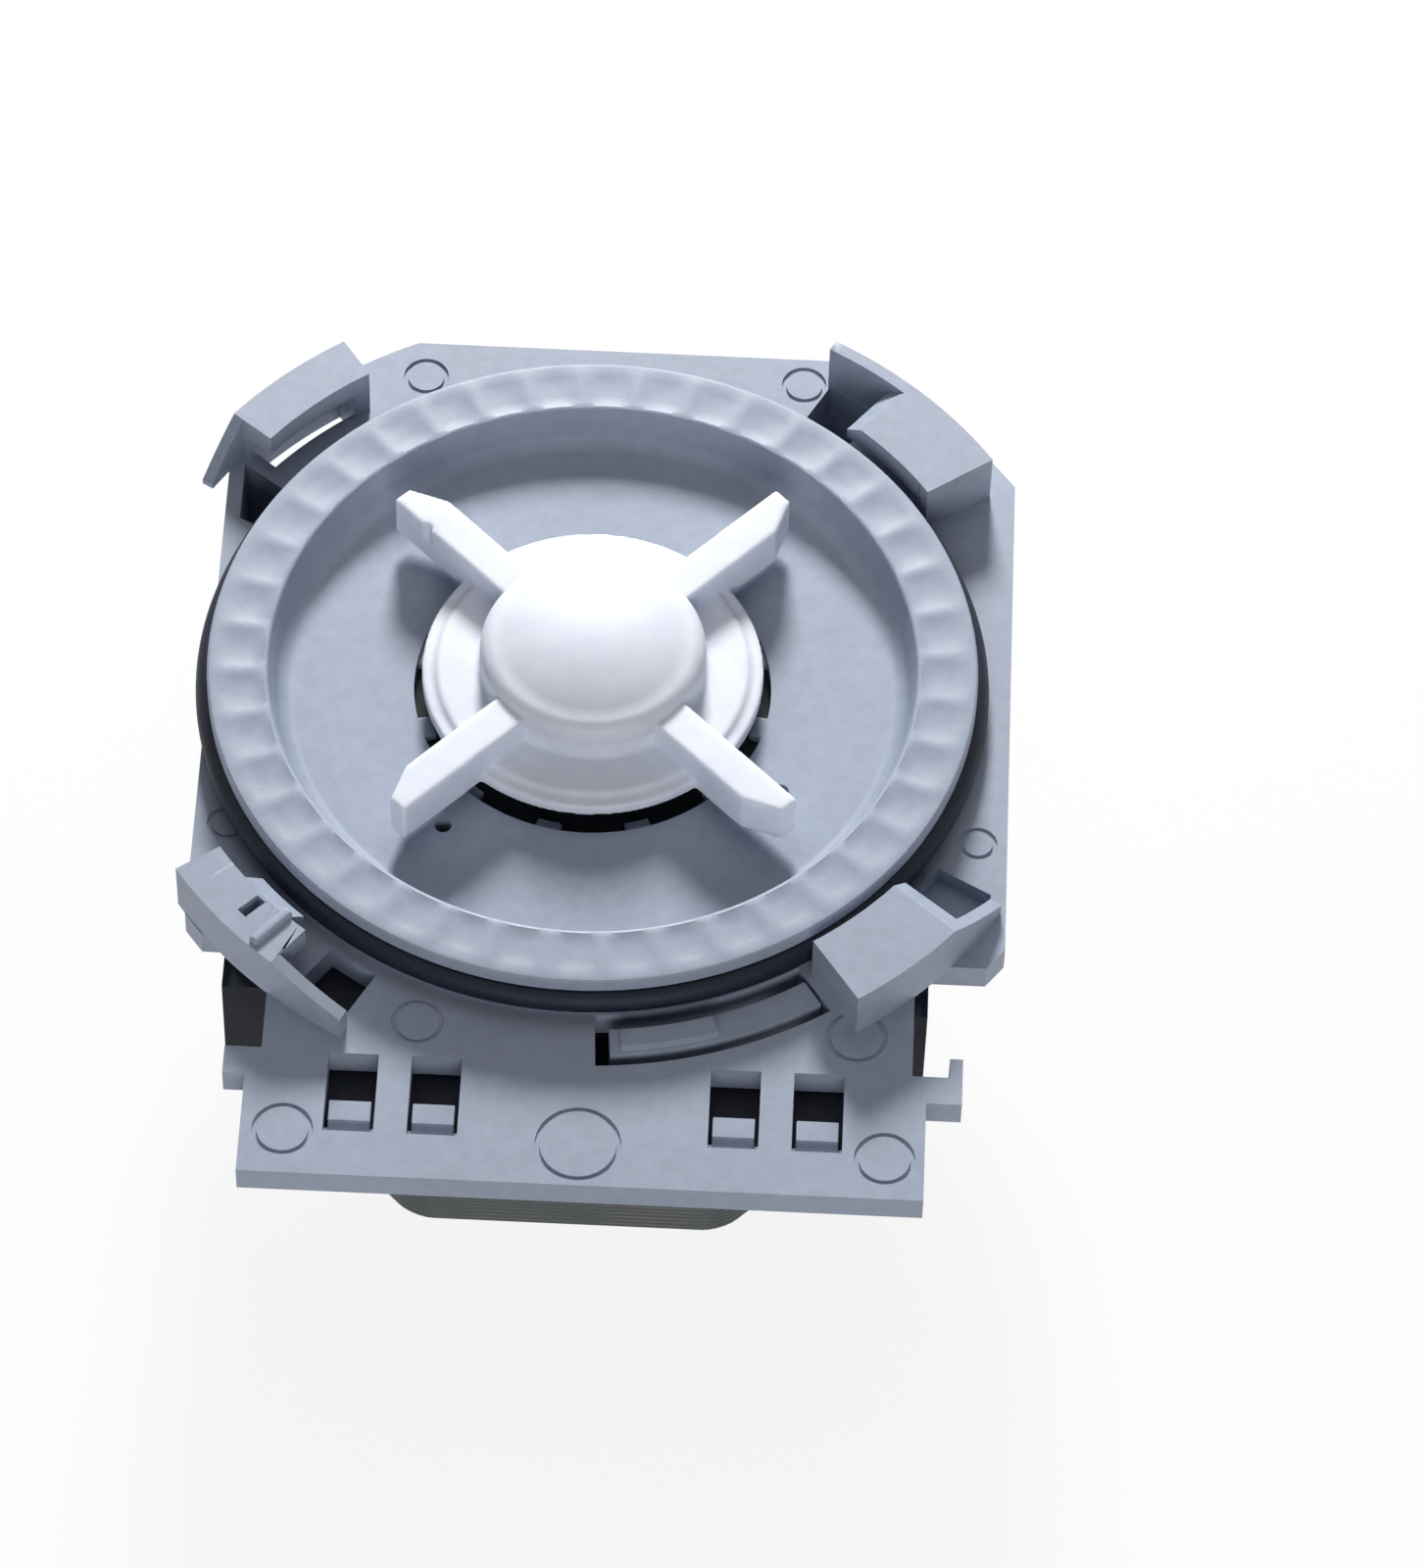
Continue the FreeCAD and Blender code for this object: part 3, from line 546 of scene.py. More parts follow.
def makePlate():
    size = {
        "halfWidth": 31.4, "top": 34.6, "shoulder": -24.3, "corner": 38.6, "neck": 24.6, "foot": 25.7,
        "footTop": -34.4, "footBottom": -45.5, "ear": 2.4, "leftEar": 27.4, "rightEar": 28.4,
        "earLip": 1.0, "earLipHigh": 1.7, "hole": 29.97, "edge": 0.28,
        "armSlot": (30.2, 34.8), "armSlotFrom": -86.8, "armSlotSpan": 31.0,
        "windows": (9.4, 15.7), "windowWidth": 3.8, "windowTop": -34.6, "windowLow": -41.6,
        "ledge": 1.0, "ledgeTop": -5.4,
        "marks": (
            (-0.3, -41.8, 6.5), (-22.5, -41.6, 4.6), (22.7, -41.9, 4.6), (-16.3, 31.2, 3.6), (14.2, 32.0, 3.6),
            (20.3, -31.0, 4.7), (-13.0, -31.4, 4.0), (29.1, -12.6, 3.0), (-28.9, -13.8, 3.0),
        ),
        "markWidth": 0.35, "markDepth": 0.2,
    }
    front, back, mid = level["plateFront"], level["plateBack"], plateShift
    plate =roundBar("frontPlate", size["corner"], back, front, mid, 0, 160)
    keep = boxBetween(
        "keep", mid - size["halfWidth"], mid + size["halfWidth"], size["shoulder"], size["top"], back - 1, front + 1,
    )
    combine(plate, [keep], "INTERSECT")
    neck = boxBetween("neck", mid - size["neck"], mid + size["neck"], size["footTop"] - 1, 0, back, front)
    foot = boxBetween("foot", mid - size["foot"], mid + size["foot"], size["footBottom"], size["footTop"], back, front)
    earLow = size["footTop"] - size["ear"]
    ears = boxBetween("ears", mid - size["leftEar"], mid + size["rightEar"], earLow, size["footTop"], back, front)
    lipLeft = mid + size["rightEar"] - size["earLip"]
    lip = boxBetween("lip", lipLeft, mid + size["rightEar"], earLow, size["footTop"] + size["earLipHigh"], back, front)
    combine(plate, [neck, foot, ears, lip])
    cutters = [roundBar("ringHole", size["hole"], back - 1, front + 1, 0, 0, 160)]
    for index in range(4):
        cutters.append(arcBlock("slot", *bayonet["slot"], lugStart(index), bayonet["slotSpan"], back - 1, front + 1))
        cutters.append(entryBlock("entry", index, 0, back + bayonet["entryFloor"][index], front + 1))
    cutters.append(arcBlock("armSlot", *size["armSlot"], size["armSlotFrom"], size["armSlotSpan"], back - 1, front + 1))
    for near in size["windows"]:
        for side in (-1, 1):
            x0, x1 = sorted((mid + side * near, mid + side * (near + size["windowWidth"])))
            low = size["windowLow"]
            cutters.append(boxBetween("window", x0, x1, low + size["ledge"], size["windowTop"], back - 1, front + 1))
            cutters.append(boxBetween("windowStep", x0, x1, low, size["windowTop"], size["ledgeTop"], front + 1))
    combine(plate, cutters, "DIFFERENCE")
    closeUp(plate)
    softenEdges(plate, size["edge"])
    marks = []
    for x, y, wide in size["marks"]:
        groove = roundBar("mark", wide / 2, front - size["markDepth"], front + 1, mid + x, y, 48)
        core = roundBar("markCore", wide / 2 - size["markWidth"], front - 2, front + 2, mid + x, y, 48)
        marks.append(combine(groove, [core], "DIFFERENCE"))
    combine(plate, marks, "DIFFERENCE")
    return housingPiece(plate)


makePlate()
print("plate made")


# bayonet lugs: shelf, outer wall, closed end and tail

def makeLugs():
    top, foot = level["lugTop"], level["plateFront"] - 0.1
    outer, wall, span, edge = (bayonet[k] for k in ("outer", "wall", "span", "edge"))
    under = top - bayonet["shelf"]
    endSpan = math.degrees(bayonet["endWall"] / outer)
    names = ("lugUpperRight", "lugUpperLeft", "lugLowerLeft", "lugLowerRight")
    for index, name in enumerate(names):
        start = lugStart(index)
        inner = bayonet["wide"] if index in (0, 3) else bayonet["narrow"]
        flat = span - bayonet["lead"] if index in (0, 3) else span
        lug = arcBlock(name, outer - wall, outer, start - endSpan / 2, flat + endSpan / 2, foot, top)
        parts = [arcBlock("end", inner, outer, start - endSpan, endSpan, foot, top)]
        tailSpan = span + bayonet["tails"][index] - flat
        parts.append(slopedArc(
            "tail", outer - bayonet["tailWall"], outer - 0.01, start + flat - 0.02, tailSpan, foot, top,
            bayonet["tailDrops"][index],
        ))
        if index in (0, 3):
            parts.append(arcBlock("shelf", inner, outer - 0.5, start - 0.5, flat + 0.5, under, top))
            parts.append(slopedArc(
                "lead", inner, outer - bayonet["tailWall"] / 2, start + flat, bayonet["lead"], under, top,
                bayonet["leadDrop"],
            ))
        elif index == 2:
            half = (span - bayonet["splitGap"]) / 2
            for first in (start, start + half + bayonet["splitGap"]):
                parts.append(arcBlock("block", inner, outer - 0.5, first, half, under, top))
            low = inner - bayonet["stripWide"]
            parts.append(spinLine(
                "strip", [(low, under), (inner + 0.3, under), (inner + 0.3, top), (inner, top), (low, top - bayonet["stripWide"])],
                8, bayonet["stripSpan"], start + bayonet["stripStart"],
            ))
        else:
            parts.append(arcBlock("shelf", inner, outer - 0.5, start - 0.5, span + 0.5, under, top))
        combine(lug, parts)
        closeUp(lug)
        softenEdges(lug, edge, 3)
        if index == 2:
            rod = boxBetween("rod", 33.2, 37.2, -0.45, 0.45, top - 0.4, top + 0.5)
            softenEdges(rod, 0.3, 3)
            turnPiece(rod, start + 11.6)
            lug = joinPieces(name, [lug, rod])
        housingPiece(lug, 40)


makeLugs()
print("lugs made")


# rear side of the housing: rotor can, entry cups, ribs and core clips

def makeRear():
    size = {
        "neck": 15.35, "neckLow": -9.7, "tube": 12.9, "inside": 11.4, "seat": 13.95, "seatLow": -8.4, "endWall": 2.0,
        "edge": 0.5, "step": 0.6, "ribAngles": (0, 45, 90, 135, 180), "ribThick": 1.4, "ribHigh": 3.0, "ribOuter": 29.0,
        "clipX": (11.0, 16.0), "clipLow": 9.3, "clipThick": 2.0, "clipBack": -25.5, "barb": 1.8, "barbThick": 1.4,
        "dimple": 3.0,
    }
    back, low = level["plateBack"], level["canBack"]
    can = spinLine("rotorCan", [
        (size["seat"], back), (size["neck"], back), (size["neck"], size["neckLow"]),
        (size["tube"], size["neckLow"] - size["step"]), (size["tube"], low), (size["dimple"], low),
        (size["dimple"], low + 0.4), (0.0, low + 0.4), (0.0, low + size["endWall"]), (size["inside"], low + size["endWall"]),
        (size["inside"], size["seatLow"]), (size["seat"], size["seatLow"]),
    ], 128)
    softenEdges(can, size["edge"], 3, 50)
    housingPiece(can)
    for index, name in enumerate(("entryCupUpperRight", "entryCupUpperLeft")):
        deep = back - bayonet["cupDepth"]
        cup = entryBlock(name, index, bayonet["cupWall"], deep, back + 0.4)
        combine(cup, [entryBlock("inside", index, 0, deep + bayonet["cupWall"], back + 2)], "DIFFERENCE")
        closeUp(cup)
        softenEdges(cup, 0.25)
        housingPiece(cup)
    ribs = []
    for angle in size["ribAngles"]:
        half = size["ribThick"] / 2
        rib = boxBetween("rib", size["neck"] - 0.5, size["ribOuter"], -half, half, back - size["ribHigh"], back + 0.2)
        pickVerts(rib, lambda co: co.x > 20 and co.z < back - 1)
        bpy.ops.transform.translate(value=(0, 0, size["ribHigh"] * 0.6))
        leaveEdit()
        softenEdges(rib, 0.3)
        ribs.append(turnPiece(rib, angle))
    housingPiece(joinPieces("plateRibs", ribs))
    clips = []
    for side in (-1, 1):
        x0, x1 = sorted((side * size["clipX"][0], side * size["clipX"][1]))
        low, rear = size["clipLow"], size["clipBack"]
        stem = boxBetween("clip", x0, x1, low, low + size["clipThick"], rear, back + 0.2)
        barb = boxBetween("barb", x0, x1, low - size["barb"], low + 0.5, rear, rear + size["barbThick"])
        pickVerts(barb, lambda co: co.y < low - 1 and co.z < rear + 0.1)
        bpy.ops.transform.translate(value=(0, size["barb"] * 0.6, 0))
        leaveEdit()
        clips.append(softenEdges(closeUp(combine(stem, [barb])), 0.3))
    housingPiece(joinPieces("coreClips", clips))


makeRear()
print("rear of the housing made")


# small tabs round the can's mouth, over the edge of the bearing carrier

def makeTabs():
    size = {"count": 12, "first": 18.0, "span": 8.5, "inner": 12.85, "outer": 14.45, "low": -4.4, "high": -3.7, "edge": 0.15}
    tabs = []
    for i in range(size["count"]):
        start = size["first"] - size["span"] / 2 + i * 360 / size["count"]
        tab = arcBlock("tab", size["inner"], size["outer"], start, size["span"], size["low"], size["high"])
        tabs.append(softenEdges(tab, size["edge"]))
    housingPiece(joinPieces("carrierTabs", tabs))


makeTabs()


# latch arm

def makeArm():
    size = {
        "inner": 31.5, "outer": 33.9, "tip": -84.9, "root": -56.3, "padStart": 1.4, "padSpan": 13.0, "padRise": 0.6,
        "margin": 0.4, "edge": 0.25,
    }
    front, back, tip = level["plateFront"], level["plateBack"], size["tip"]
    arm = arcBlock("latchArm", size["inner"], size["outer"], tip, size["root"] - tip, back, front)
    pad = arcBlock(
        "pad", size["inner"] + size["margin"], size["outer"] - size["margin"],
        tip + size["padStart"], size["padSpan"], front - 0.4, front + size["padRise"],
    )
    softenEdges(closeUp(combine(arm, [pad])), size["edge"], 3)
    finishPiece(arm, "latch", mats["housing"], ["latch_arm"])


makeArm()
print("tabs and arm made")


# O-ring, with the faint flash line of its mould

def makeSeal():
    size = {"centre": 29.8, "thick": 1.1, "height": -2.5, "flash": 0.05}
    bpy.ops.object.select_all(action="DESELECT")
    bpy.ops.mesh.primitive_torus_add(
        location=(0, 0, size["height"]), major_radius=size["centre"], minor_radius=size["thick"],
        major_segments=200, minor_segments=28,
    )
    seal = newPiece("spigotSeal")
    applyPlace(seal)
    edge = size["centre"] + size["thick"]
    grow = (edge + size["flash"]) / edge
    pickVerts(seal, lambda co: math.hypot(co.x, co.y) > edge - 0.01)
    bpy.ops.transform.resize(value=(grow, grow, 1), center_override=(0, 0, 0))
    leaveEdit()
    finishPiece(seal, "pump_body", mats["rubber"], ["spigot_o_ring"], 60)


makeSeal()


# impeller: flange, four straight blades and the hub, run together as one soft-edged moulding

def makeImpeller():
    size = {
        "flange": 13.3, "flangeLow": -1.8, "flangeTop": -0.4, "lip": 0.35, "lipWide": 0.9, "hub": 8.8, "hubTop": 1.2,
        "bladeRoot": 4.0, "bladeTip": 21.2, "bladeWidth": 3.1, "bladeTop": 2.0, "tipCut": 3.0, "first": 46.0,
        "bore": 2.08, "cavity": 7.3, "cavityFloor": -0.6, "stop": 3.9, "stopFrom": 150, "stopSpan": 60,
        "voxel": 0.16, "rounds": 6,
    }
    low, top = size["flangeLow"], size["bladeTop"]
    flange = size["flange"]
    body = spinLine("impellerBody", [
        (0.5, low), (flange, low), (flange, size["flangeTop"] - size["lip"]),
        (flange - size["lipWide"], size["flangeTop"] - size["lip"]), (flange - size["lipWide"] - 0.3, size["flangeTop"]),
        (0.5, size["flangeTop"]),
    ], 160)
    parts = [roundBar("hub", size["hub"], low + 0.01, size["hubTop"])]
    half, cut, tip = size["bladeWidth"] / 2, size["tipCut"], size["bladeTip"]
    for i in range(4):
        corners = [(size["bladeRoot"], -half), (tip - cut, -half), (tip, -half + cut / 2), (tip, half), (size["bladeRoot"], half)]
        blade = slab("blade", corners, low + 0.02, top)
        if i == 1:
            nick = boxBetween("nick", tip - 4.2, tip - 3.4, half - 0.35, half + 1, 0.2, top + 1)
            combine(blade, [nick], "DIFFERENCE")
        parts.append(turnPiece(blade, size["first"] + 90 * i))
    combine(body, parts)
    combine(body, [
        roundBar("cavity", size["cavity"], size["cavityFloor"], 9),
        roundBar("bore", size["bore"], -9, 9, sides=48),
    ], "DIFFERENCE")
    combine(body, [arcBlock(
        "stop", size["stop"], size["cavity"] + 0.3, size["stopFrom"], size["stopSpan"],
        size["cavityFloor"] - 0.3, size["hubTop"] - 0.02,
    )])
    modify(body, "REMESH", mode="VOXEL", voxel_size=size["voxel"], use_smooth_shade=True)
    modify(body, "SMOOTH", factor=0.5, iterations=size["rounds"])
    modify(body, "DECIMATE", decimate_type="COLLAPSE", ratio=0.35)
    finishPiece(body, "impeller_unit", mats["white"], ["impeller"], 60, False)


makeImpeller()


# hub cover: a shallow dome with a rounded shoulder

def makeHubCover():
    size = {
        "radius": 8.8, "foot": 1.2, "top": 4.7, "curve": 17.0, "shoulder": 1.5, "rings": 14,
        "roof": 2.35, "dogRoom": 7.0, "dogTop": 2.0, "cavity": 7.3,
    }
    shoulder, foot = size["shoulder"], size["foot"]
    edge = size["radius"] - shoulder
    crown = size["top"] - size["curve"]
    edgeHigh = crown + math.sqrt(size["curve"] ** 2 - edge ** 2)
    # hollow below, where the drive dog turns
    profile = [
        (0.0, size["roof"]), (size["dogRoom"], size["roof"]), (size["dogRoom"], size["dogTop"]),
        (size["cavity"], size["dogTop"]), (size["cavity"], foot), (size["radius"], foot),
    ]
    for i in range(7):
        turn = math.radians(15 * i)
        profile.append((edge + shoulder * math.cos(turn), foot + (edgeHigh - foot) * (0.25 + 0.75 * math.sin(turn))))
    for i in range(1, size["rings"] + 1):
        r = edge * (1 - i / size["rings"])
        profile.append((r, crown + math.sqrt(size["curve"] ** 2 - r * r)))
    dome = spinLine("impellerCap", profile, 128)
    finishPiece(dome, "impeller_unit", mats["white"], ["impeller_hub_cover"], 60)


makeHubCover()
print("seal and impeller made")


# stator core: a stack of lacquered sheets held by rivets

def makeCore():
    size = {
        "outerX": 19.0, "innerX": 8.0, "legTop": 9.0, "yokeLow": -36.6, "yokeTop": -28.0, "cut": 7.0, "bore": 13.3,
        "back": -23.8, "front": -11.3, "sheets": 25, "gap": 0.05, "edge": 0.06, "corner": 1.6,
        "rivet": 1.5, "rivetProud": 0.5, "rivets": ((-12.5, -31.5), (12.5, -31.5)),
    }
    ox, ix, cut, low = (size[k] for k in ("outerX", "innerX", "cut", "yokeLow"))
    outline = [
        (-ox, size["legTop"]), (-ox, low + cut), (-ox + cut, low), (ox - cut, low), (ox, low + cut), (ox, size["legTop"]),
        (ix, size["legTop"]), (ix, size["yokeTop"]), (-ix, size["yokeTop"]), (-ix, size["legTop"]),
    ]
    pitch = (size["front"] - size["back"]) / size["sheets"]
    sheet = slab("coreStack", outline, size["back"], size["back"] + pitch - size["gap"])
    pickEdges(sheet, lambda a, b: abs(a.x - b.x) < 0.01 and abs(a.y - b.y) < 0.01 and a.y < size["yokeLow"] + cut + 1)
    bpy.ops.mesh.bevel(offset=size["corner"], segments=5, affect="EDGES")
    leaveEdit()
    combine(sheet, [roundBar("coreBore", size["bore"], size["back"] - 1, size["front"] + 1, 0, 0, 96)], "DIFFERENCE")
    closeUp(sheet)
    softenEdges(sheet, size["edge"], 1)
    modify(
        sheet, "ARRAY", count=size["sheets"], use_relative_offset=False, use_constant_offset=True,
        constant_offset_displace=(0, 0, pitch),
    )
    finishPiece(sheet, "pump_body", mats["core"], ["stator_core"])
    heads = []
    for x, y in size["rivets"]:
        for z, out in ((size["back"], -1), (size["front"], 1)):
            near, far = sorted((z - out * 0.3, z + out * size["rivetProud"]))
            heads.append(softenEdges(roundBar("rivet", size["rivet"], near, far, x, y, 32), 0.28, 3))
    finishPiece(joinPieces("coreRivets", heads), "pump_body", mats["tin"])


makeCore()
print("core made")


# coil housing: shell, rails, apron, terminal shroud and the four snap hooks in the plate's windows

def makeCoilHousing():
    size = {
        "sideX": 24.3, "low": -27.2, "high": -15.65, "back": -28.2, "front": -6.9, "roomX": 23.1, "roomLow": -26.2,
        "roomBack": -27.2, "roomFront": -7.9, "passX": (7.9, 19.1), "passZ": (-23.9, -11.2), "edge": 0.45,
        "railX": 27.0, "railTop": -24.2, "railBack": -16.0,
        "slotX": 6.0, "slotHalf": 0.45, "slotY": (-24.5, -18.1),
    }
    shell = boxBetween("coilShell", -size["sideX"], size["sideX"], size["low"], size["high"], size["back"], size["front"])
    rails = boxBetween(
        "rails", -size["railX"], size["railX"], size["low"] + 0.01, size["railTop"], size["railBack"], size["front"] - 0.01,
    )
    combine(shell, [rails])
    softenEdges(shell, size["edge"], 3)
    cutters = [boxBetween(
        "room", -size["roomX"], size["roomX"], size["roomLow"], size["high"] + 1, size["roomBack"], size["roomFront"],
    )]
    for side in (-1, 1):
        x0, x1 = sorted((side * size["passX"][0], side * size["passX"][1]))
        cutters.append(boxBetween("pass", x0, x1, size["low"] - 1, size["roomLow"] + 1, *size["passZ"]))
        # shallow sink in each side wall, where the moulder thinned it
        x0, x1 = sorted((side * (size["sideX"] - 0.35), side * (size["sideX"] + 1)))
        cutters.append(boxBetween(
            "sink", x0, x1, size["railTop"] + 1.2, size["high"] - 1.4, size["back"] + 2, size["front"] - 2,
        ))
        # the terminal tab comes out through its slot
        x, half = side * size["slotX"], size["slotHalf"]
        cutters.append(boxBetween(
            "terminalSlot", x - half, x + half, *size["slotY"], size["back"] - 1, size["roomBack"] + 0.5,
        ))
    combine(shell, cutters, "DIFFERENCE")
    closeUp(shell)
    finishPiece(shell, "pump_body", mats["coil"], ["coil_housing"])

    apron = {"half": 22.6, "low": -42.4, "high": -26.9, "back": -8.3, "cut": (-0.6, 18.6), "cutLow": -34.2, "edge": 0.25}
    sheet = boxBetween(
        "coilApron", plateShift - apron["half"], plateShift + apron["half"], apron["low"], apron["high"], apron["back"], size["front"],
    )
    combine(sheet, [boxBetween("cut", *apron["cut"], apron["cutLow"], 0, -20, 0)], "DIFFERENCE")
    closeUp(sheet)
    softenEdges(sheet, apron["edge"])
    finishPiece(sheet, "pump_body", mats["coil"], ["coil_housing"])

    shroud = {"halfW": 12.0, "y": -21.3, "halfH": 4.7, "wall": 1.2, "edge": 0.35}
    wall, y = shroud["wall"], shroud["y"]
    box = boxBetween(
        "terminalShroud", -shroud["halfW"] - wall, shroud["halfW"] + wall,
        y - shroud["halfH"] - wall, y + shroud["halfH"] + wall, level["canBack"], size["back"] + 0.3,
    )
    softenEdges(box, shroud["edge"], 3)
    # open right through, so that the shell's back with its two slots is the shroud's floor
    inside = boxBetween(
        "inside", -shroud["halfW"], shroud["halfW"], y - shroud["halfH"], y + shroud["halfH"],
        level["canBack"] - 2, size["back"] + 2,
    )
    softenEdges(inside, 0.6, 3)
    combine(box, [inside], "DIFFERENCE")
    # keyway that lets the plug in one way round
    combine(box, [boxBetween("key", -1.5, 1.5, y + shroud["halfH"] - 0.5, y + shroud["halfH"] + 3, level["canBack"] - 1, level["canBack"] + 2.5)], "DIFFERENCE")
    closeUp(box)
    finishPiece(box, "pump_body", mats["coil"], ["coil_housing"])

    hook = {"windows": (9.4, 15.7), "width": 3.8, "side": 0.3, "low": -40.4, "thick": 1.8, "reach": -41.4, "barbLow": -5.3, "top": -4.6, "slope": 0.5}
    hooks = []
    for near in hook["windows"]:
        for side in (-1, 1):
            x0, x1 = sorted((plateShift + side * near, plateShift + side * (near + hook["width"])))
            x0, x1 = x0 + hook["side"], x1 - hook["side"]
            stem = boxBetween("stem", x0, x1, hook["low"], hook["low"] + hook["thick"], apron["back"], hook["top"])
            barb = boxBetween("barb", x0, x1, hook["reach"], hook["low"] + 0.5, hook["barbLow"], hook["top"] - 0.02)
            # the barb's nose slopes, so that it rides over the ledge
            pickVerts(barb, lambda co: co.y < hook["reach"] + 0.1 and co.z > hook["top"] - 0.1)
            bpy.ops.transform.translate(value=(0, 0, -hook["slope"]))
            leaveEdit()
            hooks.append(softenEdges(closeUp(combine(stem, [barb])), 0.15))
    finishPiece(joinPieces("snapHooks", hooks), "pump_body", mats["housing"], ["coil_housing"])


makeCoilHousing()
print("coil housing made")


# windings: turns of enamelled wire round each core leg

def makeWindings():
    size = {
        "nearX": 7.0, "farX": 20.0, "front": -10.3, "back": -24.8, "side": 3.0, "face": 2.3,
        "wire": 0.62, "corner": 1.4,
    }
    for side, name, node in ((-1, "windingLeft", "winding_left"), (1, "windingRight", "winding_right")):
        mid = side * (size["nearX"] + size["farX"]) / 2
        halfX = (size["farX"] - size["nearX"]) / 2 + size["side"] - size["wire"] / 2
        halfZ = (size["front"] - size["back"]) / 2 + size["face"] - size["wire"] / 2
        midZ = (size["front"] + size["back"]) / 2
        box = frameBox(node)
        count = int((box[1][1] - box[0][1]) / size["wire"])
        pitch = (box[1][1] - box[0][1] - size["wire"]) / (count - 1)
        turn = boxBetween("turn", -halfX, halfX, -halfZ, halfZ, -0.01, 0.01)
        pickFaces(turn, lambda c, n: abs(n.z) > 0.5)
        bpy.ops.mesh.delete(type="FACE")
        leaveEdit()
        # the loop's outline is kept as one ring of edges, rounded at its corners
        pickVerts(turn, lambda co: co.z > 0)
        bpy.ops.mesh.delete(type="VERT")
        bpy.ops.mesh.select_all(action="SELECT")
        bpy.ops.mesh.bevel(offset=size["corner"], segments=6, affect="VERTICES")
        leaveEdit()
        makeActive(turn)
        bpy.ops.object.convert(target="CURVE")
        turn.data.bevel_depth = size["wire"] / 2
        turn.data.bevel_resolution = 2
        bpy.ops.object.convert(target="MESH")
        turn.rotation_euler = (math.radians(90), 0, 0)
        turn.location = (mid, box[0][1] + size["wire"] / 2, midZ)
        applyPlace(turn)
        modify(
            turn, "ARRAY", count=count, use_relative_offset=False, use_constant_offset=True,
            constant_offset_displace=(0, pitch, 0),
        )
        # wound layers under the outer one
        core = boxBetween(
            "layers", mid - halfX, mid + halfX, box[0][1], box[1][1], midZ - halfZ, midZ + halfZ,
        )
        x0, x1 = sorted((side * size["nearX"], side * size["farX"]))
        inner = boxBetween("legRoom", x0, x1, box[0][1] - 1, box[1][1] + 1, size["back"], size["front"])
        combine(core, [inner], "DIFFERENCE")
        softenEdges(core, 0.5, 3)
        winding = joinPieces(name, [turn, core])
        finishPiece(closeUp(winding, 0.0005), "pump_body", mats["copper"], [node], 50)


def frameBox(node):
    # a node's box in millimetres
    low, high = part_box(node)
    return [v / toMetres for v in low], [v / toMetres for v in high]


makeWindings()


# terminal tabs: stamped, with a chamfered nose and a latching hole

def makeTerminals():
    size = {"chamfer": 0.25, "nose": 1.4, "hole": 0.85, "holeUp": 3.0}
    for side, name, node in ((-1, "tabLeft", "terminal_left"), (1, "tabRight", "terminal_right")):
        low, high = frameBox(node)
        tab = boxBetween(name, low[0], high[0], low[1], high[1], low[2], high[2])
        pickEdges(tab, lambda a, b: abs(a.x - b.x) > 0.5 and a.z < low[2] + 0.1 and b.z < low[2] + 0.1)
        bpy.ops.mesh.bevel(offset=size["nose"], segments=1, affect="EDGES")
        leaveEdit()
        pickEdges(tab, lambda a, b: abs(a.x - b.x) < 0.01 and a.z < low[2] + size["nose"] + 0.1 and b.z < low[2] + size["nose"] + 0.1)
        bpy.ops.mesh.bevel(offset=size["chamfer"], segments=1, affect="EDGES")
        leaveEdit()
        hole = roundBar("hole", size["hole"], -3, 3, sides=24)
        hole.rotation_euler = (0, math.radians(90), 0)
        hole.location = ((low[0] + high[0]) / 2, (low[1] + high[1]) / 2, low[2] + size["holeUp"])
        applyPlace(hole)
        combine(tab, [hole], "DIFFERENCE")
        closeUp(tab)
        finishPiece(tab, "pump_body", mats["tin"], [node])


makeTerminals()
print("windings and terminals made")


# inner CAD nodes keep their shape and take a finish each

def dressNodes():
    finishes = {
        "bearing_carrier": "black", "carrier_o_ring": "rubber", "front_bearing": "ceramic", "rear_bearing": "ceramic",
        "front_bearing_boot": "rubber", "rear_bearing_boot": "rubber", "front_thrust_washer": "white",
        "rear_thrust_washer": "white", "rotor_shaft": "steel", "rotor_sleeve": "white", "rotor_magnet": "ferrite",
        "rotor_cap_front": "black", "rotor_cap_rear": "black", "drive_dog": "black", "coupling_damper": "rubber",
        "bobbin_left": "black", "bobbin_right": "black", "thermal_cutout": "black",
    }
    for node, finish in finishes.items():
        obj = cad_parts[node]
        obj.data.materials.clear()
        obj.data.materials.append(mats[finish])


dressNodes()
print("CAD nodes dressed")


# studio: white floor, soft key from the photograph's top, camera at its angle

def seenRays(tree):
    # 1 for camera, glossy and transmission rays: the backdrop is white where it is seen, and lights nothing
    seen = addNode(tree, "ShaderNodeLightPath").outputs
    straight = addNode(tree, "ShaderNodeMath", {0: seen["Is Camera Ray"], 1: seen["Is Glossy Ray"]}, operation="MAXIMUM")
    clear = addNode(tree, "ShaderNodeMath", {0: straight.outputs[0], 1: seen["Is Transmission Ray"]}, operation="MAXIMUM")
    return clear.outputs[0]


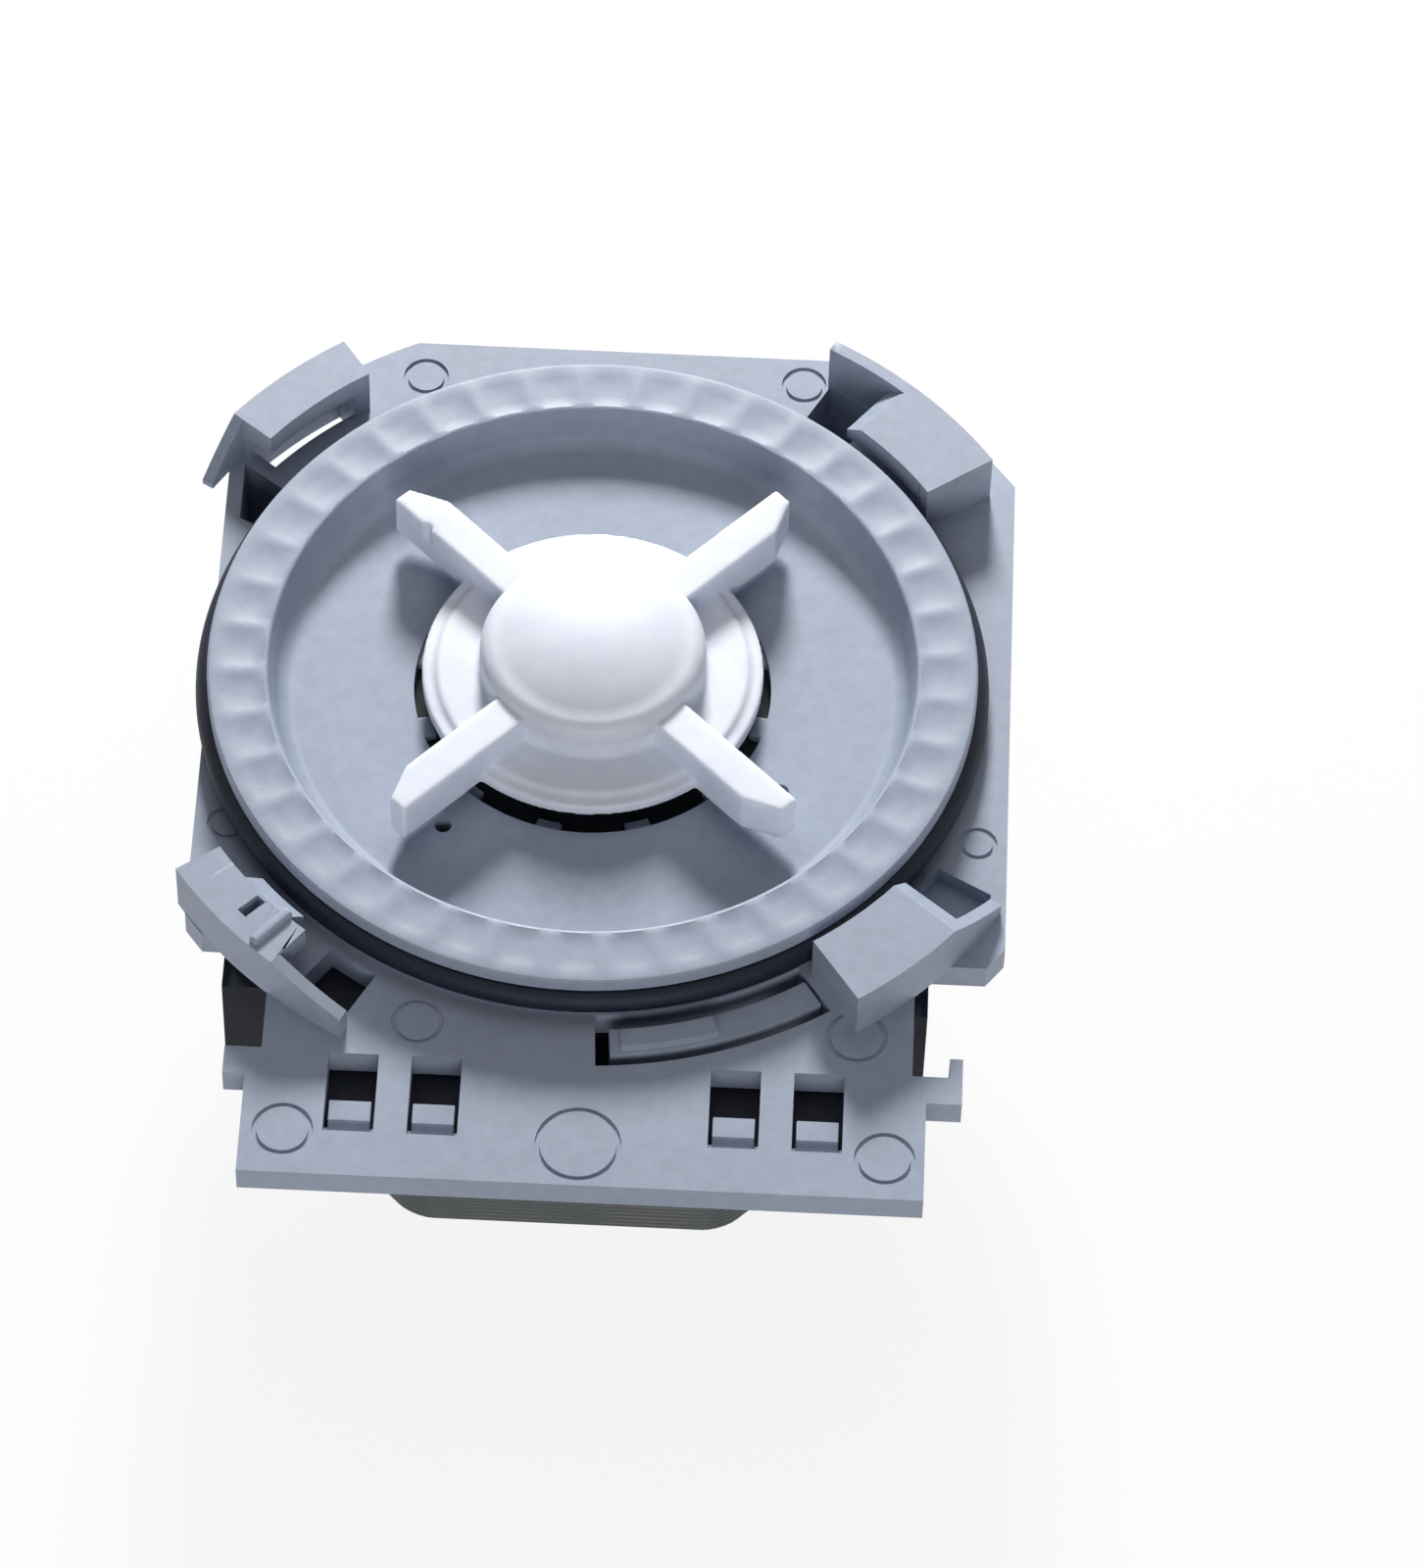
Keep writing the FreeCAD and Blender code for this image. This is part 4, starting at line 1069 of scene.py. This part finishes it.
def makeFloor():
    size = {"half": 1.5, "z": -35.6, "paper": "#e9e9eb", "shadowShare": 0.12}
    bpy.ops.object.select_all(action="DESELECT")
    bpy.ops.mesh.primitive_plane_add(size=2 * size["half"], location=(0, 0, size["z"] * toMetres))
    floor = newPiece("studioFloor")
    applyPlace(floor)
    paper = bpy.data.materials.new("whitePaper")
    paper.use_nodes = True
    tree = paper.node_tree
    surface = tree.nodes["Principled BSDF"]
    surface.inputs["Base Color"].default_value = hexColour(size["paper"])
    surface.inputs["Roughness"].default_value = 0.9
    glow = addNode(tree, "ShaderNodeEmission", {"Color": (1, 1, 1, 1), "Strength": 1.0})
    share = addNode(tree, "ShaderNodeMath", {0: seenRays(tree), 1: 1 - size["shadowShare"]}, operation="MULTIPLY")
    mixed = addNode(tree, "ShaderNodeMixShader", {"Fac": share.outputs[0], 1: surface.outputs[0], 2: glow.outputs[0]})
    tree.links.new(mixed.outputs[0], tree.nodes["Material Output"].inputs["Surface"])
    floor.data.materials.append(paper)


def makeLight():
    light = {"ambient": 0.08, "tint": "#e6ecf8", "distance": 0.6}
    lamps = {
        "key": {"azimuth": 92, "elevation": 28, "size": 0.14, "power": 5.8},
        "overhead": {"azimuth": 90, "elevation": 78, "size": 0.5, "power": 0.5},
        "fill": {"azimuth": -86, "elevation": 20, "size": 0.35, "power": 1.3},
    }
    world = bpy.context.scene.world or bpy.data.worlds.new("studioWorld")
    bpy.context.scene.world = world
    world.use_nodes = True
    tree = world.node_tree
    ambient = tree.nodes["Background"]
    ambient.inputs["Color"].default_value = hexColour(light["tint"])
    ambient.inputs["Strength"].default_value = light["ambient"]
    white = addNode(tree, "ShaderNodeBackground", {"Color": (1, 1, 1, 1), "Strength": 1.0})
    mixed = addNode(tree, "ShaderNodeMixShader", {"Fac": seenRays(tree), 1: ambient.outputs[0], 2: white.outputs[0]})
    tree.links.new(mixed.outputs[0], tree.nodes["World Output"].inputs["Surface"])
    for name, lamp in lamps.items():
        across, up = math.radians(lamp["azimuth"]), math.radians(lamp["elevation"])
        place = light["distance"] * Vector((math.cos(across) * math.cos(up), math.sin(across) * math.cos(up), math.sin(up)))
        bpy.ops.object.light_add(type="AREA", location=place)
        obj = bpy.context.object
        obj.name = name + "Lamp"
        obj.data.shape = "DISK"
        obj.data.size = lamp["size"]
        obj.data.energy = lamp["power"]
        obj.rotation_euler = place.to_track_quat("Z", "Y").to_euler()


def makeCamera():
    view = {"azimuth": 0.8, "elevation": 54.24, "roll": 1.9, "place": (14.297, -341.342, 458.603), "lens": 168.75}
    bpy.ops.object.camera_add(location=Vector(view["place"]) * toMetres)
    camera = bpy.context.object
    camera.name = "photoCamera"
    turn = Matrix.Rotation(math.radians(view["azimuth"]), 3, "Z")
    tilt = Matrix.Rotation(math.radians(90 - view["elevation"]), 3, "X")
    roll = Matrix.Rotation(math.radians(view["roll"]), 3, "Z")
    camera.rotation_euler = (turn @ tilt @ roll).to_euler()
    camera.data.sensor_fit = "VERTICAL"
    camera.data.sensor_height = 36
    camera.data.lens = view["lens"]
    bpy.context.scene.camera = camera
    bpy.context.scene.view_settings.view_transform = "Standard"


makeFloor()
makeLight()
makeCamera()
print("studio made")
